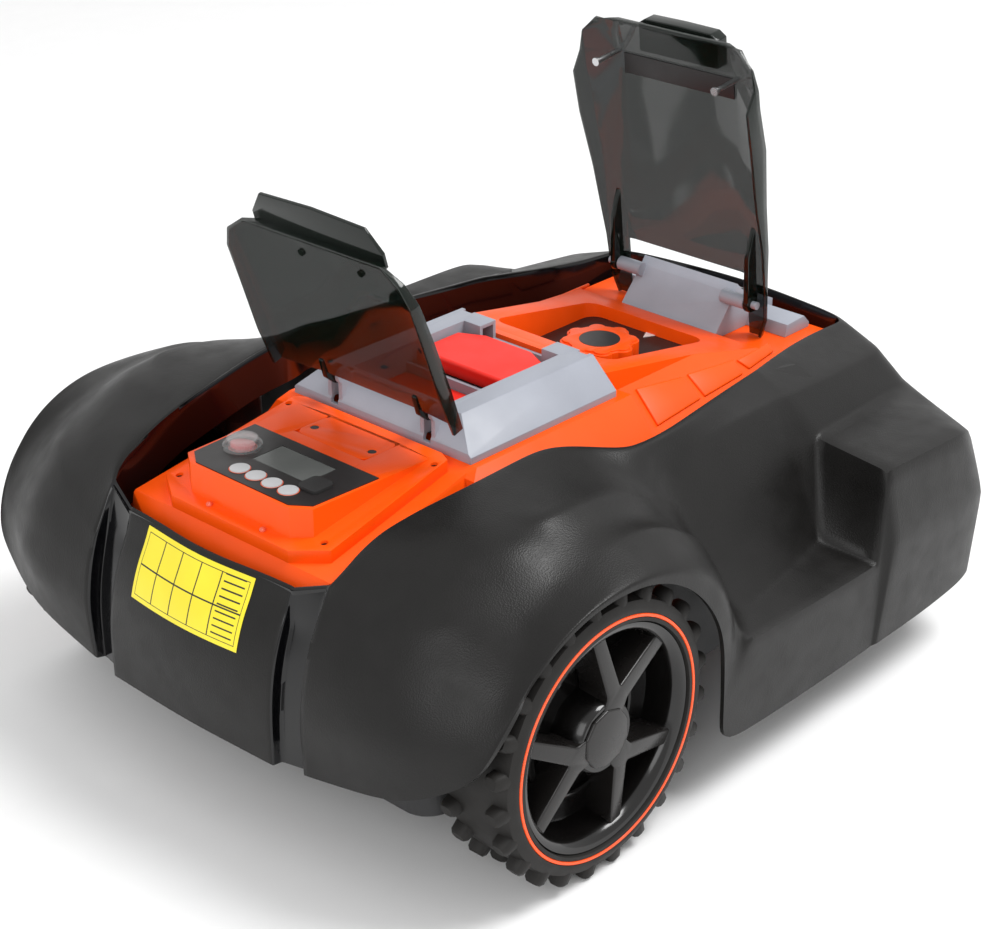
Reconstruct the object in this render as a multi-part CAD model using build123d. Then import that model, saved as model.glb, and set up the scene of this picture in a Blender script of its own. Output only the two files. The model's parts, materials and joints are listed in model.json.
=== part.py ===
"""Robotic lawn mower with two hinged clear lids, in millimetres.

X points to the nose, Y to the left, Z up. The origin lies on the ground under the middle.
Every piece that moves on the real machine is its own solid, with the gap it needs to move.
"""
from build123d import *
import os
from math import cos, radians, sin

# ---------------------------------------------------------------- driving dimensions
LENGTH = 624.0
WIDTH = 516.0
SHELL_WALL = 3.0
SKIRT_HEIGHT = 45.0
REAR_CLEARANCE = 78.0
SHELL_TRAVEL = 4.0

WHEEL_RADIUS = 103.0
WHEEL_WIDTH = 60.0
LUG_HEIGHT = 8.0
LUGS_PER_ROW = 24
RIM_RADIUS = 80.0
SPOKES = 5
AXLE_RADIUS = 6.0
AXLE_FROM_REAR = 147.0
WHEEL_TO_SIDE = 12.0
ARCH_GAP = 7.0

TRAY_GAP = 14.0
TRAY_WALL = 3.0
TRAY_FLOOR = 50.0
TRAY_TOP = 150.0
TONGUE_FLOOR = 102.0

CASTER_RADIUS = 35.0
CASTER_WIDTH = 28.0
CASTER_TRAIL = 22.0
CASTER_STEM = 6.0
CASTER_PIN = 4.0
CASTER_FROM_NOSE = 112.0
CASTER_FROM_TRAY = 52.0

BLADE_TIP_RADIUS = 110.0
BLADE_PIVOT_RADIUS = 78.0
BLADE_WIDTH = 18.0
BLADE_BOLT = 3.0
DISC_RADIUS = 90.0
CUTTING_HEIGHT = 35.0
MOTOR_RADIUS = 42.0
GUIDE_RADIUS = 4.0
GUIDE_SPREAD = 60.0
SPINDLE_RADIUS = 6.0

BEZEL_FROM_REAR = 188.0
BEZEL_LENGTH = 149.0
BEZEL_HALF_WIDTH = 86.0
BEZEL_TOP_HALF_WIDTH = 64.0
BEZEL_BASE = 228.0
BEZEL_TOP = 254.0
CAP_FROM_NOSE = 125.0
CAP_BASE = 209.0
CAP_HALF_WIDTH = 46.0
EAR_HALF_WIDTH = 84.0

DECK_WALL = 3.0
DECK_GAP = 7.0
DECK_HALF_WIDTH = 76.0
DECK_HUMP = 247.7
DECK_SLOPE = 0.174
WELL_HALF_WIDTH = 57.0
WELL_FLOOR = 207.0
KNOB_RADIUS = 30.0
KNOB_HEIGHT = 13.0
KNOB_LOBES = 8

PANEL_SLOPE = 0.1927
PANEL_HEIGHT = 258.4
PANEL_THICK = 9.0
ISLAND_TOP = 231.4
OVERLAY_THICK = 0.8
BUTTON_RADIUS = 6.8
BUTTON_PITCH = 15.7
SWITCH_RADIUS = 8.5

STOP_HALF_WIDTH = 42.0
STOP_LENGTH = 53.0
STOP_TOP = 250.0
STOP_TRAVEL = 3.0

LID_THICK = 2.5
REAR_LID_LENGTH = 126.0
REAR_LID_HALF_WIDTH = 88.0
REAR_LID_LEAN = 16.0
FRONT_LID_HALF_WIDTH = 86.0
FRONT_LID_LEAN = 7.0
LID_FLANGE = 13.0
LID_PIN = 3.0
REAR_ARM = 45.0
FRONT_ARM = 66.0
ARM_THICK = 6.0
LATCH_Y = 56.0

# ---------------------------------------------------------------- named clearances
RUNNING = 0.05        # radial, shaft in its hole
SEAT = 0.3            # between faces of two bodies that rest or slide on each other
SIDE = 0.5            # each side of a piece that moves in a window

# ---------------------------------------------------------------- derived places
REAR = -LENGTH / 2
NOSE = LENGTH / 2
HALF = WIDTH / 2
AXLE_X = REAR + AXLE_FROM_REAR
AXLE_Z = WHEEL_RADIUS
TYRE_RADIUS = WHEEL_RADIUS - LUG_HEIGHT
WHEEL_OUT = HALF - WHEEL_TO_SIDE
WHEEL_IN = WHEEL_OUT - WHEEL_WIDTH
ARCH_RADIUS = WHEEL_RADIUS + ARCH_GAP
TRAY_HALF = WHEEL_IN - TRAY_GAP
TONGUE_HALF = TRAY_HALF - 7.0
TRAY_REAR = REAR + 57.0
TONGUE_FRONT = NOSE - 57.0
TRAY_FRONT = NOSE - 182.0
CASTER_X = NOSE - CASTER_FROM_NOSE
CASTER_Y = TRAY_HALF - CASTER_FROM_TRAY
CASTER_AXLE_X = CASTER_X - CASTER_TRAIL
BEZEL_REAR = REAR + BEZEL_FROM_REAR
BEZEL_FRONT = BEZEL_REAR + BEZEL_LENGTH
CAP_REAR = NOSE - CAP_FROM_NOSE
WELL_REAR = BEZEL_FRONT + 25.0
WELL_FRONT = CAP_REAR - 22.0
KNOB_X = (WELL_REAR + WELL_FRONT) / 2
CUTTER_X = KNOB_X - 52.0
CHAMBER_RADIUS = BLADE_TIP_RADIUS + 8.0
CHAMBER_ROOF = TRAY_FLOOR + 22.0
KNOB_BASE = WELL_FLOOR + 2.0
STOP_FRONT = BEZEL_FRONT - 18.0
STOP_REAR = STOP_FRONT - STOP_LENGTH
ISLAND_REAR = REAR + 60.0
SWITCH_X = REAR + 99.0
SWITCH_Y = 40.0
BUTTON_X = REAR + 75.4
BUTTON_Y = 16.0
PORT_X = REAR + 91.0
PORT_Y = -40.0
REAR_HINGE = (BEZEL_REAR + 4.0, BEZEL_TOP)
FRONT_HINGE = (CAP_REAR + 19.0, 239.0)
POSTS = [(REAR + 196.0, HALF - 100.0), (NOSE - 162.0, HALF - 106.0)]
POST_RADIUS = 11.0
POST_TOP = TRAY_TOP + 36.0
PEG_RADIUS = 5.0


# ---------------------------------------------------------------- drawing helpers
def block(x0, x1, y0, y1, z0, z1):
    """Box between two corners."""
    centre = ((x0 + x1) / 2, (y0 + y1) / 2, (z0 + z1) / 2)
    return Pos(*centre) * Box(x1 - x0, y1 - y0, z1 - z0)


def rod(axis, radius, start, length):
    """Cylinder from a point along +X, +Y or +Z."""
    turn = {"X": Rot(0, 90, 0), "Y": Rot(-90, 0, 0), "Z": Rot(0, 0, 0)}[axis]
    solid = Cylinder(radius, length, align=(Align.CENTER, Align.CENTER, Align.MIN))
    return Pos(*start) * turn * solid


def outline(points, inset=0.0):
    """Flat face from a closed list of points, pulled in by inset."""
    face = make_face(Polyline(*points, close=True))
    if inset:
        face = offset(face, amount=-inset, kind=Kind.INTERSECTION)
    return face


def slab(points, axis, low, high, inset=0.0):
    """Outline pushed along an axis: (x, y) along Z, (x, z) along Y or (y, z) along X."""
    plane, way = {
        "X": (Plane(origin=(low, 0, 0), x_dir=(0, 1, 0), z_dir=(1, 0, 0)), (1, 0, 0)),
        "Y": (Plane(origin=(0, low, 0), x_dir=(1, 0, 0), z_dir=(0, -1, 0)), (0, 1, 0)),
        "Z": (Plane(origin=(0, 0, low), x_dir=(1, 0, 0), z_dir=(0, 0, 1)), (0, 0, 1)),
    }[axis]
    return extrude(plane * outline(points, inset), amount=high - low, dir=way)


def mirrored(right):
    """Full outline from its points on the right, where the first value changes sign or is Y."""
    left = [(x, -y) for x, y in reversed(right) if y]
    return right + left


def section(half):
    """Full cross-section from its (y, z) points on the left side, first to last."""
    return half + [(-y, z) for y, z in reversed(half) if y]


def pair(shape):
    """A piece on the left with its mirror image on the right."""
    return [shape, mirror(shape, Plane.XZ)]


def save(node, *shapes):
    """Write one node, as one solid or as a group of separate ones."""
    solids = [solid for shape in shapes for solid in shape.solids()]
    body = solids[0] if len(solids) == 1 else Compound(children=solids)
    export_step(body, f"parts/{node}.step")


# ---------------------------------------------------------------- floating shell
RIM = [
    (NOSE - 23, 0), (NOSE - 28, -60), (NOSE - 44, -106), (NOSE - 128, -118),
    (NOSE - 192, -134), (NOSE - 252, -143), (NOSE - 327, -154), (REAR + 267, -155),
    (REAR + 228, -135), (REAR + 212, -128), (REAR + 158, -123), (REAR + 111, -116),
    (REAR + 79, -111), (REAR + 45, -107), (REAR + 35, -79), (REAR + 28, 0),
]
FLANGE_BOTTOM = 182.0


def shell_plan(inset, low, high):
    """Footprint of the shell: curved nose, straight sides, rounded tail."""
    tail = HALF - 78
    edges = [
        ThreePointArc((NOSE - 54, -HALF), (NOSE, 0), (NOSE - 54, HALF)),
        Polyline((NOSE - 54, HALF), (REAR + 58, HALF), (REAR + 38, HALF - 38), (REAR + 12, tail)),
        ThreePointArc((REAR + 12, tail), (REAR, 0), (REAR + 12, -tail)),
        Polyline((REAR + 12, -tail), (REAR + 38, 38 - HALF), (REAR + 58, -HALF), (NOSE - 54, -HALF)),
    ]
    face = make_face([edge for line in edges for edge in line.edges()])
    if inset:
        face = offset(face, amount=-inset, kind=Kind.INTERSECTION)
    return Pos(0, 0, low) * extrude(face, amount=high - low, dir=(0, 0, 1))


def shell_form(inset, floor):
    """Filled shape of the shell, pulled in by inset, with its underside at floor."""
    core_side = [
        (REAR + 6, floor), (REAR, 120), (REAR + 7, 160), (REAR + 28, 197), (REAR + 45, 207),
        (REAR + 62, 220), (REAR + 79, 230), (REAR + 111, 237), (REAR + 158, 243),
        (REAR + 199, 248), (REAR + 252, 243), (REAR + 292, 236), (NOSE - 192, 232),
        (NOSE - 128, 226), (NOSE - 44, 219), (NOSE - 22, 190), (NOSE - 4, 140), (NOSE, 95),
        (NOSE - 8, floor),
    ]
    core_cut = section([(HALF - 6, floor), (HALF - 6, 118), (HALF - 40, 122),
                        (HALF - 101, 219), (HALF - 154, 251)])
    fender_side = [
        (REAR + 4, floor), (REAR + 2, 125), (REAR + 20, 167), (REAR + 41, 196), (REAR + 64, 218),
        (REAR + 90, 232), (REAR + 125, 242), (REAR + 154, 244), (REAR + 195, 240),
        (REAR + 230, 228), (REAR + 255, 204), (REAR + 270, 175), (REAR + 278, 140),
        (REAR + 282, floor),
    ]
    fender_cut = section([(HALF - 6, floor), (HALF - 6, 205), (HALF - 10, 213),
                          (HALF - 36, 224), (HALF - 93, 246), (0, 252)])
    corner_side = [(NOSE - 187, floor), (NOSE - 187, 180), (NOSE - 178, 186), (NOSE - 86, 186),
                   (NOSE - 58, 128), (NOSE - 52, floor)]
    corner_cut = section([(HALF - 8, floor), (HALF, 128), (HALF - 12, 184), (HALF - 16, 186)])
    form = None
    for side, cut in ((core_side, core_cut), (fender_side, fender_cut), (corner_side, corner_cut)):
        lump = slab(side, "Y", -WIDTH, WIDTH, inset) & slab(cut, "X", -LENGTH, LENGTH, inset)
        form = lump if form is None else form + lump
    return form & shell_plan(inset, floor - 1, BEZEL_TOP + 40)


def wheel_arches():
    """Space cut out of both sides round the rear wheels."""
    inner = WHEEL_IN - 10
    reach = HALF + 10 - inner
    arch = rod("Y", ARCH_RADIUS, (AXLE_X, inner, AXLE_Z), reach)
    arch += block(AXLE_X - ARCH_RADIUS, AXLE_X + ARCH_RADIUS, inner, inner + reach, 0, AXLE_Z)
    return pair(arch)


def floating_shell():
    """One-piece outer shell, open underneath, with a rolled rim round the deck opening."""
    outer = shell_form(0, SKIRT_HEIGHT)
    inner = shell_form(SHELL_WALL, SKIRT_HEIGHT - 30)
    opening = slab(mirrored(RIM), "Z", 100, 300)
    rolled = slab(mirrored(RIM), "Z", FLANGE_BOTTOM, 300, -SHELL_WALL)
    shell = (outer - inner) + (outer & rolled)
    shell -= opening
    shell -= block(REAR - 20, AXLE_X, -HALF, HALF, 0, REAR_CLEARANCE)
    for arch in wheel_arches():
        shell -= arch
    return shell, inner


def shell_cups(inner):
    """Four tubes under the shell's roof that sit on the rubber posts."""
    cups = []
    for x, y in POSTS:
        cup = rod("Z", POST_RADIUS + 6, (x, y, POST_TOP + SEAT), 80) & inner
        cup -= rod("Z", PEG_RADIUS + SHELL_TRAVEL + SIDE, (x, y, POST_TOP), 14)
        cups += pair(cup)
    return cups


def shell_posts():
    """Rubber posts on the tray, each with a peg that limits how far the shell shifts."""
    posts = []
    for x, y in POSTS:
        post = rod("Z", POST_RADIUS, (x, y, TRAY_TOP), POST_TOP - TRAY_TOP)
        post += rod("Z", PEG_RADIUS, (x, y, POST_TOP), 10)
        posts += pair(post)
    return posts


# ---------------------------------------------------------------- chassis
def chassis_tray():
    """Lower tray: tub between the wheels, tongue over the casters, round cutting chamber."""
    tub = block(TRAY_REAR, TRAY_FRONT, -TRAY_HALF, TRAY_HALF, TRAY_FLOOR, TRAY_TOP)
    tub = fillet(tub.edges().filter_by(Axis.Z), 20)
    tongue = block(TRAY_FRONT - 20, TONGUE_FRONT, -TONGUE_HALF, TONGUE_HALF, TONGUE_FLOOR, TRAY_TOP)
    hollow = block(TRAY_REAR + TRAY_WALL, TRAY_FRONT - TRAY_WALL, TRAY_WALL - TRAY_HALF,
                   TRAY_HALF - TRAY_WALL, TRAY_FLOOR + TRAY_WALL, TRAY_TOP + 10)
    hollow = fillet(hollow.edges().filter_by(Axis.Z), 17)
    hollow += block(TRAY_FRONT - 20, TONGUE_FRONT - TRAY_WALL, TRAY_WALL - TONGUE_HALF,
                    TONGUE_HALF - TRAY_WALL, TONGUE_FLOOR + TRAY_WALL, TRAY_TOP + 10)
    tray = tub + tongue - hollow
    centre = (CUTTER_X, 0, TRAY_FLOOR)
    roof = CHAMBER_ROOF - TRAY_FLOOR
    tray += rod("Z", CHAMBER_RADIUS + TRAY_WALL, centre, roof + TRAY_WALL)
    for x, y in POSTS:
        base = TRAY_FLOOR if x < TRAY_FRONT else TONGUE_FLOOR
        for side in (y, -y):
            tray += rod("Z", POST_RADIUS + 2, (x, side, base), TRAY_TOP - base)
    for side in (CASTER_Y, -CASTER_Y):
        tray += rod("Z", CASTER_STEM + 6, (CASTER_X, side, TONGUE_FLOOR), 44)
        tray -= rod("Z", CASTER_STEM + RUNNING, (CASTER_X, side, TONGUE_FLOOR), 50)
    tray -= rod("Z", CHAMBER_RADIUS, centre, roof)
    tray -= rod("Z", MOTOR_RADIUS + 3, centre, 60)
    for side in (GUIDE_SPREAD, -GUIDE_SPREAD):
        tray += rod("Z", 8, (CUTTER_X, side, CHAMBER_ROOF), 7)
        tray -= rod("Z", GUIDE_RADIUS, (CUTTER_X, side, CHAMBER_ROOF + TRAY_WALL), 20)
    tray -= rod("Y", AXLE_RADIUS + 2, (AXLE_X, -HALF, AXLE_Z), WIDTH)
    return tray


def gearboxes():
    """Drive motor and gearbox for each rear wheel, with the bore its axle runs in."""
    inner = TRAY_HALF - TRAY_WALL - 72
    box = block(AXLE_X - 33, AXLE_X + 33, inner + 22, TRAY_HALF - TRAY_WALL, TRAY_FLOOR + 10, 140)
    box = fillet(box.edges().filter_by(Axis.Y), 12)
    motor = rod("Y", 20, (AXLE_X, inner - 20, AXLE_Z), 42)
    feet = block(AXLE_X - 26, AXLE_X + 26, inner + 30, inner + 60, TRAY_FLOOR + TRAY_WALL,
                 TRAY_FLOOR + 12)
    body = box + motor + feet
    body -= rod("Y", AXLE_RADIUS + RUNNING, (AXLE_X, inner + 26, AXLE_Z), 80)
    return pair(body)


def battery_pack():
    """Battery on the tray floor between the wheels, with a handle strap and terminals."""
    high = TRAY_FLOOR + TRAY_WALL + 66
    pack = block(TRAY_REAR + 12, AXLE_X + 40, -56, 56, TRAY_FLOOR + TRAY_WALL, high)
    pack = fillet(pack.edges().filter_by(Axis.Z), 6)
    pack += block(AXLE_X + 10, AXLE_X + 30, -30, 30, high, high + 5)
    return pack


def main_board():
    """Control board on four feet behind the cutting chamber."""
    x0 = AXLE_X + 45
    x1 = CUTTER_X - CHAMBER_RADIUS - 6
    low = TRAY_FLOOR + TRAY_WALL
    board = block(x0, x1, -70, 70, low + 12, low + 14)
    for x in (x0 + 5, x1 - 5):
        for y in (-64, 64):
            board += rod("Z", 3, (x, y, low), 12)
    board += block(x0 + 8, x1 - 12, -50, -10, low + 14, low + 26)
    board += block(x0 + 12, x1 - 16, 10, 52, low + 14, low + 20)
    return board


def charging_contacts():
    """Two brass strips under the nose."""
    strip = block(TONGUE_FRONT - 34, TONGUE_FRONT - 4, 30, 46, TONGUE_FLOOR - 1.5, TONGUE_FLOOR)
    return pair(strip)


# ---------------------------------------------------------------- deck
def panel_z(x, drop=0.0):
    """Height of the sloping panel plane at x."""
    return PANEL_HEIGHT + PANEL_SLOPE * x - drop


def hump_z(x):
    """Height of the deck plane that falls to the nose."""
    return DECK_HUMP - DECK_SLOPE * x


def deck_form(inset, floor):
    """Filled shape of the deck, pulled in by inset."""
    plinth_side = [(REAR + 42, floor), (REAR + 42, 186), (REAR + 50, panel_z(REAR + 50, PANEL_THICK)),
                   (BEZEL_REAR, panel_z(BEZEL_REAR, PANEL_THICK)), (BEZEL_REAR + 10, BEZEL_BASE),
                   (BEZEL_REAR + 10, floor)]
    plinth_cut = section([(103, floor), (103, 180), (84, 232)])
    saddle_side = [(BEZEL_REAR - 8, floor), (BEZEL_REAR - 8, BEZEL_BASE - 6), (BEZEL_REAR, BEZEL_BASE),
                   (BEZEL_FRONT + 10, BEZEL_BASE), (BEZEL_FRONT + 10, floor)]
    saddle_cut = section([(148, floor), (148, 188), (118, 196), (BEZEL_HALF_WIDTH + 2, BEZEL_BASE + 4)])
    top_x = BEZEL_FRONT + 0.5
    hump_side = [(top_x, floor), (top_x, hump_z(top_x)), (CAP_REAR, hump_z(CAP_REAR)),
                 (CAP_REAR, CAP_BASE), (NOSE - 48, CAP_BASE), (NOSE - 48, floor)]
    hump_cut = section([(140, floor), (140, 186), (118, 190), (DECK_HALF_WIDTH, 226),
                        (DECK_HALF_WIDTH, 262)])
    form = None
    lumps = ((plinth_side, plinth_cut), (saddle_side, saddle_cut), (hump_side, hump_cut))
    for side, cut in lumps:
        lump = slab(side, "Y", -HALF, HALF, inset) & slab(cut, "X", -LENGTH, LENGTH, inset)
        form = lump if form is None else form + lump
    return form & slab(mirrored(RIM), "Z", floor - 1, 300, DECK_GAP + inset)


def well(half_width, grow, low, high):
    """Rounded pocket round the height knob."""
    box = block(WELL_REAR - grow, WELL_FRONT + grow, -half_width - grow, half_width + grow, low, high)
    return fillet(box.edges().filter_by(Axis.Z), 12 + grow)


def deck_cover():
    """Orange deck: panel plinth, saddle under the bezel, hump with the knob well, lower flange."""
    outer = deck_form(0, TRAY_TOP)
    deck = outer - deck_form(DECK_WALL, TRAY_TOP - 20)
    deck += outer & well(WELL_HALF_WIDTH, DECK_WALL, WELL_FLOOR - DECK_WALL, 300)
    deck -= well(WELL_HALF_WIDTH, 0, WELL_FLOOR, 300)
    flange = block(TRAY_REAR + 3, TONGUE_FRONT - 3, 3 - TONGUE_HALF, TONGUE_HALF - 3,
                   TRAY_TOP, TRAY_TOP + DECK_WALL)
    for x, y in POSTS:
        for side in (y, -y):
            flange -= rod("Z", POST_RADIUS + SIDE, (x, side, TRAY_TOP - 1), 10)
    deck += flange - deck_form(DECK_WALL, TRAY_TOP - 20)
    for pocket in latch_pockets():
        deck -= pocket
    return deck - rod("Z", SPINDLE_RADIUS + SIDE, (KNOB_X, 0, WELL_FLOOR - 20), 40)


def latch_pockets():
    """Slots in front of the bezel that take the front lid's studs."""
    low = LATCH_Y - 4.5
    return pair(block(BEZEL_FRONT - 3, BEZEL_FRONT + 9, low, low + 9, BEZEL_BASE + 4, BEZEL_TOP + 9))


def well_floor():
    """Dark plate in the well, under the knob."""
    plate = well(WELL_HALF_WIDTH - 0.5, 0, WELL_FLOOR, WELL_FLOOR + 1.5)
    plate -= rod("Z", SPINDLE_RADIUS + SIDE, (KNOB_X, 0, WELL_FLOOR - 1), 4)
    return plate


# ---------------------------------------------------------------- control panel
OVERLAY = [(REAR + 128, 60.5), (REAR + 128, -60.5), (REAR + 72, -58), (REAR + 62.5, -45),
           (REAR + 62.5, 45), (REAR + 72, 58)]
SCREWS = [(REAR + 68.7, 71.0), (REAR + 68.7, -71.0), (REAR + 168.7, 71.0), (REAR + 168.7, -71.0)]
HATCH_SCREWS = [(REAR + 153.4, 28.0), (REAR + 153.4, -28.0)]
HATCH = (REAR + 140, REAR + 174, -34, 34)


def buttons():
    """Places of the four round buttons, left to right."""
    return [(BUTTON_X, BUTTON_Y - BUTTON_PITCH * place) for place in range(4)]


def control_cover():
    """Raised cover: sloping screw rim with a level island that carries the controls."""
    rim = [(REAR + 181, 66), (REAR + 177, 75), (REAR + 65, 81), (REAR + 50, 57)]
    rim += [(x, -y) for x, y in reversed(rim)]
    ends = (REAR + 40, REAR + 190)
    layer = [(ends[0], panel_z(ends[0], PANEL_THICK)), (ends[1], panel_z(ends[1], PANEL_THICK)),
             (ends[1], panel_z(ends[1])), (ends[0], panel_z(ends[0]))]
    cover = slab(rim, "Z", 150, 260) & slab(layer, "Y", -HALF, HALF)
    island = [(REAR + 178, 64), (REAR + 69, 61), (ISLAND_REAR, 48)]
    island += [(x, -y) for x, y in reversed(island)]
    above = layer[:2] + [(ends[1], 260), (ends[0], 260)]
    cover += slab(island, "Z", 200, ISLAND_TOP) & slab(above, "Y", -HALF, HALF)
    cover -= block(*HATCH, ISLAND_TOP - 1.6, ISLAND_TOP + 9)
    for x, y in SCREWS:
        cover -= rod("Z", 2.6, (x, y, panel_z(x) - 5), 20)
    for x, y in HATCH_SCREWS:
        cover -= rod("Z", 1.5, (x, y, ISLAND_TOP - 7), 10)
    for x, y in buttons():
        cover -= rod("Z", BUTTON_RADIUS + SIDE, (x, y, ISLAND_TOP - 2.4), 10)
    for led in status_leds():
        cover -= led
    cover -= rod("Z", SWITCH_RADIUS + 1.5, (SWITCH_X, SWITCH_Y, ISLAND_TOP - 8), 20)
    cover -= block(PORT_X - 6, PORT_X + 6, PORT_Y - 5, PORT_Y + 5, ISLAND_TOP - 5, ISLAND_TOP + 5)
    return cover


def control_overlay():
    """Black overlay with windows for the display, the buttons, the switch and the port."""
    low = ISLAND_TOP
    high = ISLAND_TOP + OVERLAY_THICK
    plate = slab(OVERLAY, "Z", low, high)
    plate -= block(REAR + 91, REAR + 118, -31, 21.5, low - 1, high + 1)
    for x, y in buttons():
        plate -= rod("Z", BUTTON_RADIUS + SIDE, (x, y, low - 1), 4)
    plate -= rod("Z", SWITCH_RADIUS + 1.5, (SWITCH_X, SWITCH_Y, low - 1), 4)
    plate -= block(PORT_X - 6, PORT_X + 6, PORT_Y - 5, PORT_Y + 5, low - 1, high + 1)
    return plate


def service_hatch():
    """Small hatch held by two screws."""
    x0, x1, y0, y1 = HATCH
    hatch = block(x0 + 0.2, x1 - 0.2, y0 + 0.2, y1 - 0.2, ISLAND_TOP - 1.6, ISLAND_TOP)
    hatch = fillet(hatch.edges().filter_by(Axis.Z), 8)
    for x, y in HATCH_SCREWS:
        hatch -= rod("Z", 3.2, (x, y, ISLAND_TOP - 0.9), 4)
        hatch -= rod("Z", 1.5, (x, y, ISLAND_TOP - 3), 4)
    return hatch


def cover_screws():
    """Four cover screws and two hatch screws."""
    screws = []
    for x, y in SCREWS:
        screws.append(rod("Z", 2.6, (x, y, panel_z(x) - 5), 3.2))
    for x, y in HATCH_SCREWS:
        head = rod("Z", 2.9, (x, y, ISLAND_TOP - 0.9), 0.7)
        screws.append(head + rod("Z", 1.5, (x, y, ISLAND_TOP - 6.5), 6))
    return screws


def status_leds():
    """Two small lamps on the screw rim."""
    x = REAR + 56.4
    dome = Pos(x, 26.2, panel_z(x)) * Sphere(2.4)
    keep = block(x - 5, x + 5, 20, 32, panel_z(x) - 0.6, panel_z(x) + 4)
    return pair(dome & keep)


def switch_boot():
    """Clear cap over the round rocker, with its wide base ring."""
    base = ISLAND_TOP + OVERLAY_THICK
    boot = rod("Z", 13.6, (SWITCH_X, SWITCH_Y, base), 2.4)
    boot += rod("Z", 10.8, (SWITCH_X, SWITCH_Y, base), 6.6)
    boot -= rod("Z", 10.0, (SWITCH_X, SWITCH_Y, base - 1), 6.8)
    return boot


def power_rocker():
    """Round rocker that tips about a crosswise axis; it rests tipped to its off side."""
    base = ISLAND_TOP + OVERLAY_THICK
    disc = rod("Z", SWITCH_RADIUS, (0, 0, -1.2), 2.4)
    rocker = disc + block(-3, 3, -3, 3, -5, 0) + rod("Y", 1.0, (0, -9.5, 0), 19)
    return Pos(SWITCH_X, SWITCH_Y, base + 1.2) * Rot(0, 9, 0) * rocker


def port_cover():
    """Rubber flap over the service port."""
    low = ISLAND_TOP + OVERLAY_THICK + 0.05
    flap = block(PORT_X - 9, PORT_X + 9, PORT_Y - 9, PORT_Y + 9, low, low + 2.4)
    flap = fillet(flap.edges().filter_by(Axis.Z), 4)
    return flap + rod("Y", 1.2, (PORT_X + 9, PORT_Y - 6, low + 1.2), 12)


def service_port():
    """Socket under the flap."""
    port = block(PORT_X - 6, PORT_X + 6, PORT_Y - 5, PORT_Y + 5, ISLAND_TOP - 5, ISLAND_TOP)
    socket = block(PORT_X - 4, PORT_X + 4, PORT_Y - 1.5, PORT_Y + 1.5, ISLAND_TOP - 4, ISLAND_TOP + 1)
    return port - socket


# ---------------------------------------------------------------- bezel and stop button
def bezel_form(inset, base):
    """Filled shape of the grey bezel."""
    cut = section([(BEZEL_HALF_WIDTH, base), (BEZEL_HALF_WIDTH, 233), (BEZEL_TOP_HALF_WIDTH, BEZEL_TOP)])
    side = [(BEZEL_REAR, base), (BEZEL_REAR, 235), (BEZEL_REAR + 14, BEZEL_TOP),
            (BEZEL_FRONT, BEZEL_TOP), (BEZEL_FRONT, base)]
    return slab(cut, "X", -LENGTH, LENGTH, inset) & slab(side, "Y", -HALF, HALF, inset)


def bezel():
    """Grey bezel round the stop button, with the finger recess and the rear hinge cheeks."""
    body = bezel_form(0, BEZEL_BASE) - bezel_form(3, BEZEL_BASE - 20)
    room = STOP_HALF_WIDTH + 4
    pocket_rear = BEZEL_REAR + 20
    tub = block(pocket_rear - 3, STOP_FRONT + 4, -room - 3, room + 3, BEZEL_BASE, BEZEL_TOP)
    body += tub & bezel_form(0, BEZEL_BASE)
    body -= block(pocket_rear, STOP_FRONT + 1, -room, room, BEZEL_BASE + 3, BEZEL_TOP + 1)
    body -= block(BEZEL_FRONT - 19, BEZEL_FRONT + 1, -30, 30, 240, BEZEL_TOP + 1)
    body += block(STOP_REAR - 6, STOP_REAR - 3, -room, room, BEZEL_BASE, BEZEL_TOP - 14)
    for y in (REAR_ARM, -REAR_ARM):
        for cheek in (y - ARM_THICK / 2 - 4, y + ARM_THICK / 2 + SIDE):
            lug = rod("Y", 6, (REAR_HINGE[0], cheek, REAR_HINGE[1]), 3.5)
            lug += block(REAR_HINGE[0] - 3, REAR_HINGE[0] + 10, cheek, cheek + 3.5, 236, BEZEL_TOP)
            body += lug
        gap = ARM_THICK / 2 + SIDE
        body -= block(BEZEL_REAR - 4, BEZEL_REAR + 17, y - gap, y + gap, 232, BEZEL_TOP + 8)
    for gap in lid_pins() + latch_pockets():
        body -= gap
    return body


def stop_base():
    """Red floor of the finger recess behind the stop button."""
    room = STOP_HALF_WIDTH + 3.5
    low = BEZEL_BASE + 3
    return block(BEZEL_REAR + 20.5, STOP_REAR - 6.5, -room, room, low, low + 2)


def stop_button():
    """Wide red stop bar with slanted ends, on a stem."""
    y = STOP_HALF_WIDTH
    points = [(STOP_REAR, -y), (STOP_FRONT - 10, -y), (STOP_FRONT, -y + 20), (STOP_FRONT, y - 20),
              (STOP_FRONT - 10, y), (STOP_REAR, y)]
    bar = slab(points, "Z", STOP_TOP - 11, STOP_TOP)
    top = bar.faces().sort_by(Axis.Z)[-1]
    bar = fillet(top.edges(), 2.5)
    middle = (STOP_REAR + STOP_FRONT) / 2
    return bar + block(middle - 8, middle + 8, -26, 26, BEZEL_BASE + 3 + STOP_TRAVEL + 1, STOP_TOP - 8)


def stop_switch():
    """Pair of switches beside the stem, which the bar presses."""
    middle = (STOP_REAR + STOP_FRONT) / 2
    low = BEZEL_BASE + 3
    return pair(block(middle - 6, middle + 6, 29, 38, low, STOP_TOP - 11 - STOP_TRAVEL - 0.2))


# ---------------------------------------------------------------- lids
def tilt(hinge, angle):
    """Place for a lid drawn upright at the origin, leaning back by angle about its hinge."""
    return Pos(hinge[0], 0, hinge[1]) * Rot(0, -angle, 0)


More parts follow.
